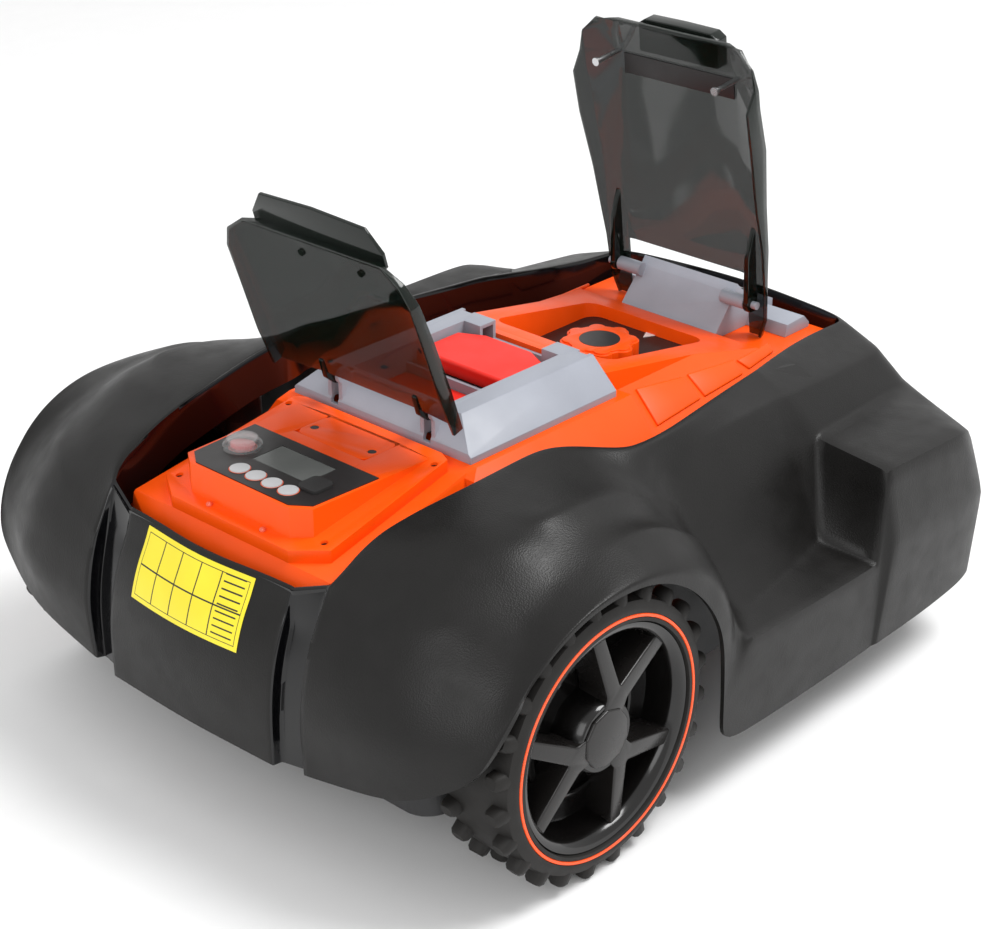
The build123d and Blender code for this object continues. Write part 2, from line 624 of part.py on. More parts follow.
def lid_plate(outline_points, back, flange):
    """Clear plate with a rim turned inwards along its sides and top."""
    full = slab(outline_points, "X", back - flange, back)
    middle = slab(outline_points, "X", back - flange - 1, back - LID_THICK, LID_THICK)
    bottom = min(z for _, z in outline_points)
    middle += Pos(0, 0, -LID_THICK) * middle
    below = block(back - flange - 2, back - LID_THICK, -200, 200, bottom - 20, bottom - 0.01)
    return full - middle - below


def arm(y, points):
    """Hinge arm between a lid's plate and its pin, bored for the pin."""
    shape = rod("Y", 7, (0, y - ARM_THICK / 2, 0), ARM_THICK)
    shape += slab(points, "Y", y - ARM_THICK / 2, y + ARM_THICK / 2)
    return shape - rod("Y", LID_PIN + RUNNING, (0, y - ARM_THICK, 0), 2 * ARM_THICK)


def rear_lid():
    """Clear lid over the control panel, standing open."""
    high = 5 + REAR_LID_LENGTH
    w = REAR_LID_HALF_WIDTH
    points = [(w, 8), (w - 2, high - 14), (w - 14, high), (0, high + 6)]
    full = points + [(-y, z) for y, z in reversed(points) if y]
    back = -9.0
    lid = lid_plate(full, back, LID_FLANGE)
    lip = [(54, high - 4), (50, high + 15), (0, high + 19)]
    lid += slab(lip + [(-y, z) for y, z in reversed(lip) if y], "X", back - LID_THICK, back)
    for y in (REAR_ARM, -REAR_ARM):
        lid += arm(y, [(5, 4), (-6, 18), (back - 2, 18), (back - 2, 6), (-6, -4), (2, -6)])
    return tilt(REAR_HINGE, REAR_LID_LEAN) * lid


def front_lid_length():
    """Distance from the front hinge to the lid's top edge, closing on the bezel."""
    return FRONT_HINGE[0] - BEZEL_FRONT + 27.0


def front_lid():
    """Clear lid over the knob and the stop button, standing open."""
    high = front_lid_length() - 10
    w = FRONT_LID_HALF_WIDTH
    points = [(w, -14), (w + 0.5, high - 16), (w - 16, high), (0, high + 6)]
    full = points + [(-y, z) for y, z in reversed(points) if y]
    back = 9.0
    lid = lid_plate(full, back, LID_FLANGE)
    gap = FRONT_ARM - 7
    lid -= block(-20, 20, -gap, gap, -40, 22)
    tab = [(38, high - 4), (36, high + 8), (0, high + 11)]
    lid += slab(tab + [(-y, z) for y, z in reversed(tab) if y], "X", back - LID_THICK, back)
    for y in (FRONT_ARM, -FRONT_ARM):
        lid += arm(y, [(-6, 2), (-3, 36), (back - 1, 42), (back - 1, -3), (2, -6)])
    return tilt(FRONT_HINGE, FRONT_LID_LEAN) * lid


def lid_studs():
    """Two steel studs inside the front lid's top edge."""
    high = front_lid_length() - 30
    stud = rod("X", 2, (-20, LATCH_Y, high), 26.5) + rod("X", 3.2, (-22, LATCH_Y, high), 2)
    return [tilt(FRONT_HINGE, FRONT_LID_LEAN) * one for one in pair(stud)]


def lid_strip():
    """Dark sealing strip inside the front lid, just under the studs."""
    high = front_lid_length() - 33
    w = FRONT_LID_HALF_WIDTH - LID_THICK - 1
    strip = block(3.0, 6.5, -w, w, high - 22, high)
    for y in (LATCH_Y, -LATCH_Y):
        strip -= rod("X", 6, (0, y, high + 3), 10)
    return tilt(FRONT_HINGE, FRONT_LID_LEAN) * strip


def lid_pads():
    """Two screw heads inside the rear lid's top edge."""
    high = REAR_LID_LENGTH - 12
    pad = rod("X", 2.5, (-9 - LID_THICK - 2.5, 28, high), 2.5)
    return [tilt(REAR_HINGE, REAR_LID_LEAN) * one for one in pair(pad)]


def lid_pins():
    """Hinge pins of both lids."""
    pins = []
    for (x, z), y, inward in ((REAR_HINGE, REAR_ARM, 7.0), (FRONT_HINGE, FRONT_ARM, 14.0)):
        pins += pair(rod("Y", LID_PIN, (x, y - inward, z), inward + 7))
    return pins


# ---------------------------------------------------------------- front cap
def cap_form(inset, base):
    """Filled shape of the grey front cap between the lid's arms."""
    side = [(CAP_REAR, base), (CAP_REAR, CAP_BASE + 2), (CAP_REAR + 20, 234), (CAP_REAR + 29, 247),
            (CAP_REAR + 36, 240), (NOSE - 50, 222), (NOSE - 50, base)]
    cut = section([(CAP_HALF_WIDTH + 1, base), (CAP_HALF_WIDTH + 1, 222), (CAP_HALF_WIDTH, 250)])
    return slab(side, "Y", -HALF, HALF, inset) & slab(cut, "X", -LENGTH, LENGTH, inset)


def front_cap():
    """Grey cap with side ears that the front lid swings between."""
    body = cap_form(0, CAP_BASE)
    ears = [(CAP_REAR + 42, CAP_BASE), (CAP_REAR + 44, 219), (CAP_REAR + 66, 220),
            (NOSE - 52, 213), (NOSE - 52, CAP_BASE)]
    body += slab(ears, "Y", -EAR_HALF_WIDTH, EAR_HALF_WIDTH)
    body -= cap_form(3, CAP_BASE - 19)
    boss_end = FRONT_ARM - ARM_THICK / 2 - SIDE
    for boss in pair(rod("Y", 5.5, (FRONT_HINGE[0], 40, FRONT_HINGE[1]), boss_end - 40)):
        body += boss
    for pin in lid_pins():
        body -= pin
    return body


def cap_label():
    """Blank dark plate on top of the cap."""
    x0 = CAP_REAR + 40
    x1 = NOSE - 56
    top = [(CAP_REAR + 36, 240.0), (NOSE - 50, 222.0)]
    fall = (top[0][1] - top[1][1]) / (top[1][0] - top[0][0])
    z0 = top[0][1] - fall * (x0 - top[0][0])
    z1 = top[0][1] - fall * (x1 - top[0][0])
    return slab([(x0, z0), (x1, z1), (x1, z1 + 1), (x0, z0 + 1)], "Y", -38, 38)


# ---------------------------------------------------------------- cutting unit and height setting
def height_knob():
    """Lobed knob with a recess for its disc."""
    knob = None
    for shrink, high in ((0.0, KNOB_HEIGHT - 1.5), (1.5, KNOB_HEIGHT)):
        layer = rod("Z", KNOB_RADIUS - 4 - shrink, (0, 0, 0), high)
        for lobe in range(KNOB_LOBES):
            turn = 360.0 * lobe / KNOB_LOBES
            layer += Rot(0, 0, turn) * rod("Z", 8 - shrink, (KNOB_RADIUS - 8, 0, 0), high)
        knob = layer if knob is None else knob + layer
    knob -= rod("Z", 15.5, (0, 0, KNOB_HEIGHT - 0.8), 4)
    knob -= rod("Z", SPINDLE_RADIUS, (0, 0, -1), 9)
    return Pos(KNOB_X, 0, KNOB_BASE) * knob


def knob_disc():
    """Disc set in the top of the knob."""
    return rod("Z", 15.5, (KNOB_X, 0, KNOB_BASE + KNOB_HEIGHT - 0.8), 0.9)


def height_spindle():
    """Spindle under the knob that works the lift yoke."""
    return rod("Z", SPINDLE_RADIUS, (KNOB_X, 0, 104), KNOB_BASE + 8 - 104)


def lift_yoke():
    """Arm from the motor to the spindle."""
    yoke = block(CUTTER_X + 10, KNOB_X - 8, -9, 9, 128, 136)
    yoke += rod("Z", 13, (KNOB_X, 0, 128), 12)
    yoke += rod("Z", 22, (CUTTER_X, 0, 128), 6)
    return yoke - rod("Z", SPINDLE_RADIUS + 2 * RUNNING, (KNOB_X, 0, 120), 30)


def blade_motor():
    """Motor housing with two guide lugs and the bore of the blade shaft."""
    motor = rod("Z", MOTOR_RADIUS, (CUTTER_X, 0, CUTTING_HEIGHT + 23), 128 - CUTTING_HEIGHT - 23)
    for side in (GUIDE_SPREAD, -GUIDE_SPREAD):
        lug = block(CUTTER_X - 7, CUTTER_X + 7, min(0, side), max(0, side), 92, 104)
        lug += rod("Z", 9, (CUTTER_X, side, 92), 12)
        motor += lug
    for side in (GUIDE_SPREAD, -GUIDE_SPREAD):
        motor -= rod("Z", GUIDE_RADIUS + RUNNING, (CUTTER_X, side, 80), 40)
    return motor - rod("Z", 5 + RUNNING, (CUTTER_X, 0, 40), 46)


def guide_rods():
    """Two steel rods that the cutting unit slides on."""
    return pair(rod("Z", GUIDE_RADIUS, (CUTTER_X, GUIDE_SPREAD, CHAMBER_ROOF + TRAY_WALL), 76))


def blade_disc():
    """Cutting disc with its hub and shaft."""
    disc = rod("Z", DISC_RADIUS, (CUTTER_X, 0, CUTTING_HEIGHT), 3)
    disc += rod("Z", 22, (CUTTER_X, 0, CUTTING_HEIGHT), 21)
    disc += rod("Z", 5, (CUTTER_X, 0, CUTTING_HEIGHT + 20), 28)
    for blade in range(3):
        x, y = blade_pivot(blade)
        disc -= rod("Z", BLADE_BOLT, (x, y, CUTTING_HEIGHT - 1), 6)
    for place in range(3):
        turn = radians(120 * place + 60)
        spot = (CUTTER_X + 52 * cos(turn), 52 * sin(turn), CUTTING_HEIGHT - 1)
        disc -= rod("Z", 14, spot, 6)
    return disc


def blade_pivot(blade):
    """Place of one blade's bolt."""
    turn = radians(120 * blade)
    return CUTTER_X + BLADE_PIVOT_RADIUS * cos(turn), BLADE_PIVOT_RADIUS * sin(turn)


def blade(number):
    """Swinging blade, pointing outwards."""
    reach = BLADE_TIP_RADIUS - BLADE_PIVOT_RADIUS
    half = BLADE_WIDTH / 2
    flat = block(-8, reach, -half, half, 0, 1) - rod("Z", BLADE_BOLT + RUNNING, (0, 0, -1), 3)
    x, y = blade_pivot(number)
    return Pos(x, y, CUTTING_HEIGHT - 1.5) * Rot(0, 0, 120 * number) * flat


def blade_bolts():
    """Shouldered bolts that the blades swing on."""
    bolts = []
    for number in range(3):
        x, y = blade_pivot(number)
        bolt = rod("Z", BLADE_BOLT, (x, y, CUTTING_HEIGHT - 2), 5)
        bolts.append(bolt + rod("Z", 6, (x, y, CUTTING_HEIGHT - 5), 3.2))
    return bolts


# ---------------------------------------------------------------- wheels
def wheel_place(shape, side):
    """Put a wheel piece, drawn along +Y from the wheel's inner face, on one side."""
    placed = Pos(AXLE_X, WHEEL_IN, AXLE_Z) * shape
    return placed if side > 0 else mirror(placed, Plane.XZ)


def tyre():
    """Rubber tyre with two staggered rows of lugs."""
    body = rod("Y", TYRE_RADIUS, (0, 1.5, 0), WHEEL_WIDTH - 3)
    half = WHEEL_WIDTH / 2
    step = 360.0 / LUGS_PER_ROW
    for lug in range(LUGS_PER_ROW):
        for row, phase in ((0, 0.0), (half, 0.5)):
            turn = Rot(0, step * (lug + phase), 0)
            body += turn * block(-6.5, 6.5, row + 0.5, row + half - 0.5, -WHEEL_RADIUS, 5 - TYRE_RADIUS)
    return body - rod("Y", RIM_RADIUS, (0, -1, 0), WHEEL_WIDTH + 2)


def wheel_rim():
    """Rim with a deep dish and forked spokes."""
    rim = rod("Y", RIM_RADIUS, (0, 3, 0), WHEEL_WIDTH - 5)
    rim -= rod("Y", RIM_RADIUS - 5, (0, -1, 0), WHEEL_WIDTH + 2)
    rim += rod("Y", RIM_RADIUS - 4, (0, 22, 0), 4)
    rim += rod("Y", 24, (0, 8, 0), WHEEL_WIDTH - 18)
    for spoke in range(SPOKES):
        turn = Rot(0, 360.0 * spoke / SPOKES, 0)
        fork = block(14, 46, 26, WHEEL_WIDTH - 14, -7, 7)
        for lean in (24, -24):
            fork += Pos(40, 0, 0) * Rot(0, lean, 0) * block(0, 40, 26, WHEEL_WIDTH - 16, -6, 6)
        rim += turn * (fork & rod("Y", RIM_RADIUS - 4, (0, 0, 0), WHEEL_WIDTH))
    return rim - rod("Y", AXLE_RADIUS, (0, -1, 0), WHEEL_WIDTH - 14)


def hub_cap():
    """Flat-sided cap on the hub."""
    points = [(17 * cos(radians(a)), 17 * sin(radians(a))) for a in range(18, 378, 36)]
    return slab(points, "Y", WHEEL_WIDTH - 10, WHEEL_WIDTH - 4)


def axle():
    """Drive axle from the gearbox to the hub."""
    inner = TRAY_HALF - TRAY_WALL - 40 - WHEEL_IN
    return rod("Y", AXLE_RADIUS, (0, inner, 0), WHEEL_WIDTH - 16 - inner)


def caster_fork(side):
    """Caster fork with its stem and wheel pin."""
    y = CASTER_Y
    half = CASTER_WIDTH / 2
    fork = rod("Z", CASTER_STEM, (CASTER_X, y, 78), 66)
    fork += rod("Z", 11, (CASTER_X, y, 78), TONGUE_FLOOR - SEAT - 78)
    fork += block(CASTER_AXLE_X - 8, CASTER_X + 9, y - half - 6, y + half + 6, 74, 82)
    for cheek in (y - half - 6, y + half + 2):
        fork += block(CASTER_AXLE_X - 8, CASTER_AXLE_X + 8, cheek, cheek + 4, CASTER_RADIUS, 80)
        fork += rod("Y", 8, (CASTER_AXLE_X, cheek, CASTER_RADIUS), 4)
    fork += rod("Y", CASTER_PIN, (CASTER_AXLE_X, y - half - 6, CASTER_RADIUS), CASTER_WIDTH + 12)
    return fork if side > 0 else mirror(fork, Plane.XZ)


def caster_wheel(side):
    """Small front wheel with a rounded tread."""
    wheel = rod("Y", CASTER_RADIUS, (0, -CASTER_WIDTH / 2, 0), CASTER_WIDTH)
    wheel = fillet(wheel.edges().filter_by(GeomType.CIRCLE), 5)
    wheel -= rod("Y", CASTER_PIN + RUNNING, (0, -CASTER_WIDTH, 0), 2 * CASTER_WIDTH)
    wheel = Pos(CASTER_AXLE_X, CASTER_Y, CASTER_RADIUS) * wheel
    return wheel if side > 0 else mirror(wheel, Plane.XZ)


# ---------------------------------------------------------------- write every node
def main():
    """Build and write all nodes."""
    os.makedirs("parts", exist_ok=True)
    shell, inner = floating_shell()
    save("shell", shell)
    save("shell_cups", *shell_cups(inner))
    save("shell_posts", *shell_posts())
    save("chassis_tray", chassis_tray())
    save("gearboxes", *gearboxes())
    save("battery_pack", battery_pack())
    save("main_board", main_board())
    save("charging_contacts", *charging_contacts())
    save("deck_cover", deck_cover())
    save("well_floor", well_floor())
    save("control_cover", control_cover())
    save("control_overlay", control_overlay())
    save("lcd_window", block(REAR + 91.2, REAR + 117.8, -30.8, 21.3, ISLAND_TOP, ISLAND_TOP + 0.6))
    save("service_hatch", service_hatch())
    save("cover_screws", *cover_screws())
    save("status_leds", *status_leds())
    save("switch_boot", switch_boot())
    save("power_rocker", power_rocker())
    save("port_cover", port_cover())
    save("service_port", service_port())
    for number, (x, y) in enumerate(buttons(), start=1):
        save(f"button_{number}", rod("Z", BUTTON_RADIUS, (x, y, ISLAND_TOP - 1.2), 2.8))
    save("bezel", bezel())
    save("stop_base", stop_base())
    save("stop_button", stop_button())
    save("stop_switch", *stop_switch())
    save("rear_lid", rear_lid())
    save("lid_pads", *lid_pads())
    save("front_lid", front_lid())
    save("lid_studs", *lid_studs())
    save("lid_strip", lid_strip())
    save("lid_pins", *lid_pins())
    save("front_cap", front_cap())
    save("cap_label", cap_label())
    save("height_knob", height_knob())
    save("knob_disc", knob_disc())
    save("height_spindle", height_spindle())
    save("lift_yoke", lift_yoke())
    save("blade_motor", blade_motor())
    save("guide_rods", *guide_rods())
    save("blade_disc", blade_disc())
    save("blade_bolts", *blade_bolts())
    for number in range(3):
        save(f"blade_{number + 1}", blade(number))
    for name, side in (("left", 1), ("right", -1)):
        save(f"tyre_{name}", wheel_place(tyre(), side))
        save(f"wheel_rim_{name}", wheel_place(wheel_rim(), side))
        save(f"hub_cap_{name}", wheel_place(hub_cap(), side))
        save(f"axle_{name}", wheel_place(axle(), side))
        save(f"caster_fork_{name}", caster_fork(side))
        save(f"caster_wheel_{name}", caster_wheel(side))


main()
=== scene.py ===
"""Looks of a robotic lawn mower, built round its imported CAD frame.

Lengths in the classes are millimetres unless a name says otherwise: X runs from the tail to the
nose, Y to the left and Z up from the ground, and metres() turns them into the frame's own unit.
"""
import json  # noqa: E402
import logging  # noqa: E402
import math  # noqa: E402
from dataclasses import dataclass, field  # noqa: E402
from enum import Enum  # noqa: E402

import bmesh  # noqa: E402
import bpy  # noqa: E402
from mathutils import Matrix, Vector  # noqa: E402

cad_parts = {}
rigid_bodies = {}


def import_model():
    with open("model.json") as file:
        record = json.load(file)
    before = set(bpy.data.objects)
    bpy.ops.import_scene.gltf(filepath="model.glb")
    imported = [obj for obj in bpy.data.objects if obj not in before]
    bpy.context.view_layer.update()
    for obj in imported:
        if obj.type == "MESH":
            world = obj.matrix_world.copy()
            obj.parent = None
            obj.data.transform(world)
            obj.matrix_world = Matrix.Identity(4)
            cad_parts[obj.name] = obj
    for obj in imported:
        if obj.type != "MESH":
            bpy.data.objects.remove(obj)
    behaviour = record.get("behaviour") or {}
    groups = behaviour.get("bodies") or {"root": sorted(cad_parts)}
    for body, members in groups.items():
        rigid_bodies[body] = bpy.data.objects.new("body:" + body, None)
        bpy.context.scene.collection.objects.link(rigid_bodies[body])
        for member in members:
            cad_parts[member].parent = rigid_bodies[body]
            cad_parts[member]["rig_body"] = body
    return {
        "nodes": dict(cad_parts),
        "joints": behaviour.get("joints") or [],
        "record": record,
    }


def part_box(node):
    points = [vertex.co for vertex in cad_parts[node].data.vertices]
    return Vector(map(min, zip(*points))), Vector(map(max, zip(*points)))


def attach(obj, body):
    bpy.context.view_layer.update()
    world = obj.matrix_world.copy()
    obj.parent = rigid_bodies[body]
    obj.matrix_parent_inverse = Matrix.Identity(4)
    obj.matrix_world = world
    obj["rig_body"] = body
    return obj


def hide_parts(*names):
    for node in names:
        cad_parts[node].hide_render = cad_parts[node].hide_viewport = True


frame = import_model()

LOG = logging.getLogger("mower")
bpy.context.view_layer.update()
MM = 0.001
Point = tuple[float, float, float]
Flat = tuple[float, float]


def metres(point: Point) -> Vector:
    """Turn a point in millimetres into metres."""
    return Vector(point) * MM


def millimetres(node: str) -> tuple[Vector, Vector]:
    """Lowest and highest corner of a CAD node, in millimetres."""
    low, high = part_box(node)
    return low / MM, high / MM


def joint_place(name: str) -> Vector:
    """Place of a hinge from the frame's own joints, in millimetres."""
    found = next(joint for joint in frame["joints"] if joint["name"] == name)
    return Vector(found["pos_m"]) / MM


# ---------------------------------------------------------------------------- finishes
class Texture(Enum):
    """What a surface's fine relief is made of."""

    GRAIN = "fine moulded grain"
    SMOOTH = "smooth moulding"
    BRUSHED = "brushed metal"
    RUBBER = "matt rubber"


@dataclass(frozen=True)
class Finish:
    """One surface finish, made of shader nodes.

    Attributes:
        name: Material name, in the maker's words.
        colour: Base colour, linear red, green and blue.
        roughness: Mean roughness.
        texture: Kind of fine relief.
        relief: Depth of the relief in metres.
        pitch: Size of one grain in metres.
        mottle: How far the colour drifts over the surface, as a share.
        wear: How far the roughness drifts over the surface.
        metallic: 1 for metal.
        coat: Weight of a clear coat.
        opacity: Below 1 for see-through plastic.
        gleam: Strength of the mirror-like share of the light.
    """

    name: str
    colour: Point
    roughness: float
    texture: Texture = Texture.SMOOTH
    relief: float = 0.00002
    pitch: float = 0.002
    mottle: float = 0.06
    wear: float = 0.05
    metallic: float = 0.0
    coat: float = 0.0
    opacity: float = 1.0
    gleam: float = 0.5

    def material(self) -> bpy.types.Material:
        """Make the material, or return it if it exists.

        Returns:
            The material.
        """
        found = bpy.data.materials.get(self.name)
        if found:
            return found
        material = bpy.data.materials.new(self.name)
        material.use_nodes = True
        nodes = material.node_tree.nodes
        shader = nodes["Principled BSDF"]
        shader.inputs["Metallic"].default_value = self.metallic
        shader.inputs["Coat Weight"].default_value = self.coat
        shader.inputs["Coat Roughness"].default_value = 0.08
        shader.inputs["Specular IOR Level"].default_value = self.gleam
        shader.inputs["Alpha"].default_value = self.opacity
        if self.opacity < 1.0:
            material.surface_render_method = "BLENDED"
        place = nodes.new("ShaderNodeTexCoord")
        self._colour(material.node_tree, place, shader)
        self._roughness(material.node_tree, place, shader)
        self._relief(material.node_tree, place, shader)
        return material

    def _noise(self, tree: bpy.types.NodeTree, place: bpy.types.Node, scale: float,
               detail: float) -> bpy.types.Node:
        """Noise over the object's own coordinates.

        Args:
            tree: Tree that gets the node.
            place: Texture coordinate node.
            scale: Repeats per metre.
            detail: Octaves of finer noise.

        Returns:
            The noise node.
        """
        noise = tree.nodes.new("ShaderNodeTexNoise")
        noise.inputs["Scale"].default_value = scale
        noise.inputs["Detail"].default_value = detail
        tree.links.new(place.outputs["Object"], noise.inputs["Vector"])
        return noise

    def _colour(self, tree: bpy.types.NodeTree, place: bpy.types.Node,
                shader: bpy.types.Node) -> None:
        """Colour that drifts a little between a darker and a lighter shade."""
        ramp = tree.nodes.new("ShaderNodeValToRGB")
        low, high = 1.0 - self.mottle, 1.0 + self.mottle
        ramp.color_ramp.elements[0].position = 0.35
        ramp.color_ramp.elements[1].position = 0.65
        ramp.color_ramp.elements[0].color = (*[c * low for c in self.colour], 1.0)
        ramp.color_ramp.elements[1].color = (*[min(1.0, c * high) for c in self.colour], 1.0)
        noise = self._noise(tree, place, 28.0, 4.0)
        tree.links.new(noise.outputs["Fac"], ramp.inputs["Fac"])
        tree.links.new(ramp.outputs["Color"], shader.inputs["Base Color"])

    def _roughness(self, tree: bpy.types.NodeTree, place: bpy.types.Node,
                   shader: bpy.types.Node) -> None:
        """Roughness with faint handling marks."""
        spread = tree.nodes.new("ShaderNodeMapRange")
        spread.inputs["From Min"].default_value = 0.3
        spread.inputs["From Max"].default_value = 0.7
        spread.inputs["To Min"].default_value = max(0.02, self.roughness - self.wear)
        spread.inputs["To Max"].default_value = min(1.0, self.roughness + self.wear)
        noise = self._noise(tree, place, 55.0, 6.0)
        tree.links.new(noise.outputs["Fac"], spread.inputs["Value"])
        tree.links.new(spread.outputs["Result"], shader.inputs["Roughness"])

    def _relief(self, tree: bpy.types.NodeTree, place: bpy.types.Node,
                shader: bpy.types.Node) -> None:
        """Fine relief: grain, rubber bloom or brushing."""
        bump = tree.nodes.new("ShaderNodeBump")
        bump.inputs["Distance"].default_value = self.relief
        if self.texture is Texture.BRUSHED:
            stretch = tree.nodes.new("ShaderNodeMapping")
            stretch.inputs["Scale"].default_value = (1.0, 1.0, 14.0)
            tree.links.new(place.outputs["Object"], stretch.inputs["Vector"])
            noise = self._noise(tree, place, 1.0 / self.pitch, 3.0)
            tree.links.new(stretch.outputs["Vector"], noise.inputs["Vector"])
            height = noise.outputs["Fac"]
        elif self.texture is Texture.GRAIN:
            cells = tree.nodes.new("ShaderNodeTexVoronoi")
            cells.inputs["Scale"].default_value = 1.0 / self.pitch
            tree.links.new(place.outputs["Object"], cells.inputs["Vector"])
            height = cells.outputs["Distance"]
        else:
            height = self._noise(tree, place, 1.0 / self.pitch, 5.0).outputs["Fac"]
        tree.links.new(height, bump.inputs["Height"])
        tree.links.new(bump.outputs["Normal"], shader.inputs["Normal"])


SHELL_BLACK = Finish("shell black", (0.0075, 0.0070, 0.0066), 0.40, Texture.GRAIN, 0.00010,
                     0.0011, 0.10, 0.06, gleam=0.27)
SHELL_GLOSS = Finish("shell gloss", (0.0025, 0.0025, 0.003), 0.12, pitch=0.02, mottle=0.05,
                     wear=0.04, gleam=0.45)
ORANGE = Finish("orange plastic", (0.96, 0.088, 0.002), 0.36, relief=0.00003, pitch=0.0016,
                mottle=0.03, gleam=0.25)
PALE_GREY = Finish("pale grey plastic", (0.30, 0.315, 0.36), 0.38, relief=0.00004, pitch=0.0015,
                   mottle=0.04, gleam=0.4)
STOP_RED = Finish("stop red", (0.80, 0.018, 0.008), 0.38, relief=0.00004, pitch=0.0014,
                  mottle=0.04, gleam=0.3)
SMOKED = Finish("smoked lid", (0.0035, 0.0075, 0.005), 0.07, pitch=0.03, mottle=0.1, wear=0.03,
                opacity=0.78, gleam=0.4)
LID_EDGE = Finish("dark lid fittings", (0.004, 0.007, 0.005), 0.12, pitch=0.02, wear=0.03,
                  opacity=0.97, gleam=0.4)
CLEAR = Finish("clear cap", (0.75, 0.74, 0.74), 0.08, pitch=0.02, wear=0.03, opacity=0.22)
OVERLAY = Finish("panel overlay", (0.018, 0.015, 0.015), 0.36, relief=0.00003, pitch=0.0012)
DISPLAY = Finish("display window", (0.13, 0.135, 0.13), 0.22, pitch=0.01, mottle=0.08, wear=0.03)
SILVER = Finish("silver membrane", (0.52, 0.52, 0.53), 0.34, relief=0.00002, pitch=0.001)
INK = Finish("black print", (0.012, 0.011, 0.011), 0.45, pitch=0.002)
ORANGE_LINE = Finish("orange print", (0.90, 0.11, 0.01), 0.40, pitch=0.002)
WHITE_PRINT = Finish("white print", (0.80, 0.80, 0.78), 0.45, pitch=0.002)
DARK_FLOOR = Finish("well floor", (0.022, 0.008, 0.006), 0.50, Texture.GRAIN, 0.00005, 0.0012)
LAMP = Finish("lamp lens", (0.75, 0.10, 0.04), 0.16, pitch=0.01, coat=0.5)
ROCKER_RED = Finish("rocker red", (0.75, 0.02, 0.03), 0.22, pitch=0.01, coat=0.5)
TYRE = Finish("tyre rubber", (0.011, 0.010, 0.009), 0.60, Texture.RUBBER, 0.00010, 0.0018, 0.15,
              0.08, gleam=0.3)
SOFT_RUBBER = Finish("soft rubber", (0.016, 0.015, 0.015), 0.58, Texture.RUBBER, 0.00006, 0.0016)
RIM_GLOSS = Finish("rim gloss", (0.004, 0.0036, 0.0034), 0.15, pitch=0.02, wear=0.04, gleam=0.5)
RIM_SATIN = Finish("rim satin", (0.009, 0.008, 0.0075), 0.27, pitch=0.003, wear=0.05, gleam=0.45)
RING_ORANGE = Finish("ring orange", (1.0, 0.085, 0.003), 0.36, pitch=0.002, mottle=0.02)
LABEL_YELLOW = Finish("plate yellow", (0.86, 0.72, 0.02), 0.32, pitch=0.004, mottle=0.03, coat=0.2)
STEEL = Finish("bright steel", (0.60, 0.60, 0.61), 0.26, Texture.BRUSHED, 0.00001, 0.0008,
               metallic=1.0)
SCREW = Finish("blackened screw", (0.030, 0.028, 0.026), 0.36, pitch=0.001, metallic=0.8)
BRASS = Finish("contact brass", (0.78, 0.55, 0.25), 0.28, Texture.BRUSHED, 0.00001, 0.0008,
               metallic=1.0)
TRAY = Finish("tray plastic", (0.016, 0.016, 0.017), 0.50, Texture.GRAIN, 0.00008, 0.0014)
HOUSING = Finish("housing plastic", (0.035, 0.035, 0.038), 0.46, relief=0.00004, pitch=0.002)
BOARD = Finish("circuit board", (0.012, 0.085, 0.030), 0.40, pitch=0.003, mottle=0.15)
DISC = Finish("disc moulding", (0.75, 0.09, 0.008), 0.40, relief=0.00003, pitch=0.002)

FINISH_OF_SLOT = {
    "black_shell": SHELL_BLACK, "orange_plastic": ORANGE, "grey_plastic": PALE_GREY,
    "red_plastic": STOP_RED, "smoked_clear": SMOKED, "clear_cap": CLEAR, "black_trim": OVERLAY,
    "tray_plastic": TRAY, "display": DISPLAY, "button_silver": SILVER, "dark_plate": DARK_FLOOR,
    "lamp_red": LAMP, "tyre_rubber": TYRE, "mount_rubber": SOFT_RUBBER, "rim_plastic": RIM_GLOSS,
    "steel": STEEL, "screw_black": SCREW, "brass": BRASS, "motor_metal": HOUSING,
    "board_green": BOARD, "battery_case": HOUSING, "disc_steel": DISC,
}
SLOT_OF_FINISH = {finish.name: slot for slot, finish in reversed(FINISH_OF_SLOT.items())}
SLOT_OF_FINISH.update({
    SHELL_GLOSS.name: "black_shell", INK.name: "black_trim", ORANGE_LINE.name: "orange_plastic",
    WHITE_PRINT.name: "button_silver", ROCKER_RED.name: "red_plastic",
    RIM_SATIN.name: "rim_plastic", RING_ORANGE.name: "orange_plastic",
    LABEL_YELLOW.name: "orange_plastic", LID_EDGE.name: "smoked_clear",
})


# ---------------------------------------------------------------------------- mesh tools
def bake(item: bpy.types.Object) -> None:
    """Turn an object's modifiers into its own mesh."""
    graph = bpy.context.evaluated_depsgraph_get()
    mesh = bpy.data.meshes.new_from_object(item.evaluated_get(graph), depsgraph=graph)
    item.modifiers.clear()
    item.data = mesh


def smooth(item: bpy.types.Object, angle: float = 38.0) -> None:
    """Shade smooth, with edges above an angle in degrees left sharp.

    Args:
        item: Object to shade.
        angle: Largest angle shaded smooth, in degrees.
    """
    for polygon in item.data.polygons:
        polygon.use_smooth = True
    item.data.set_sharp_from_angle(angle=math.radians(angle))


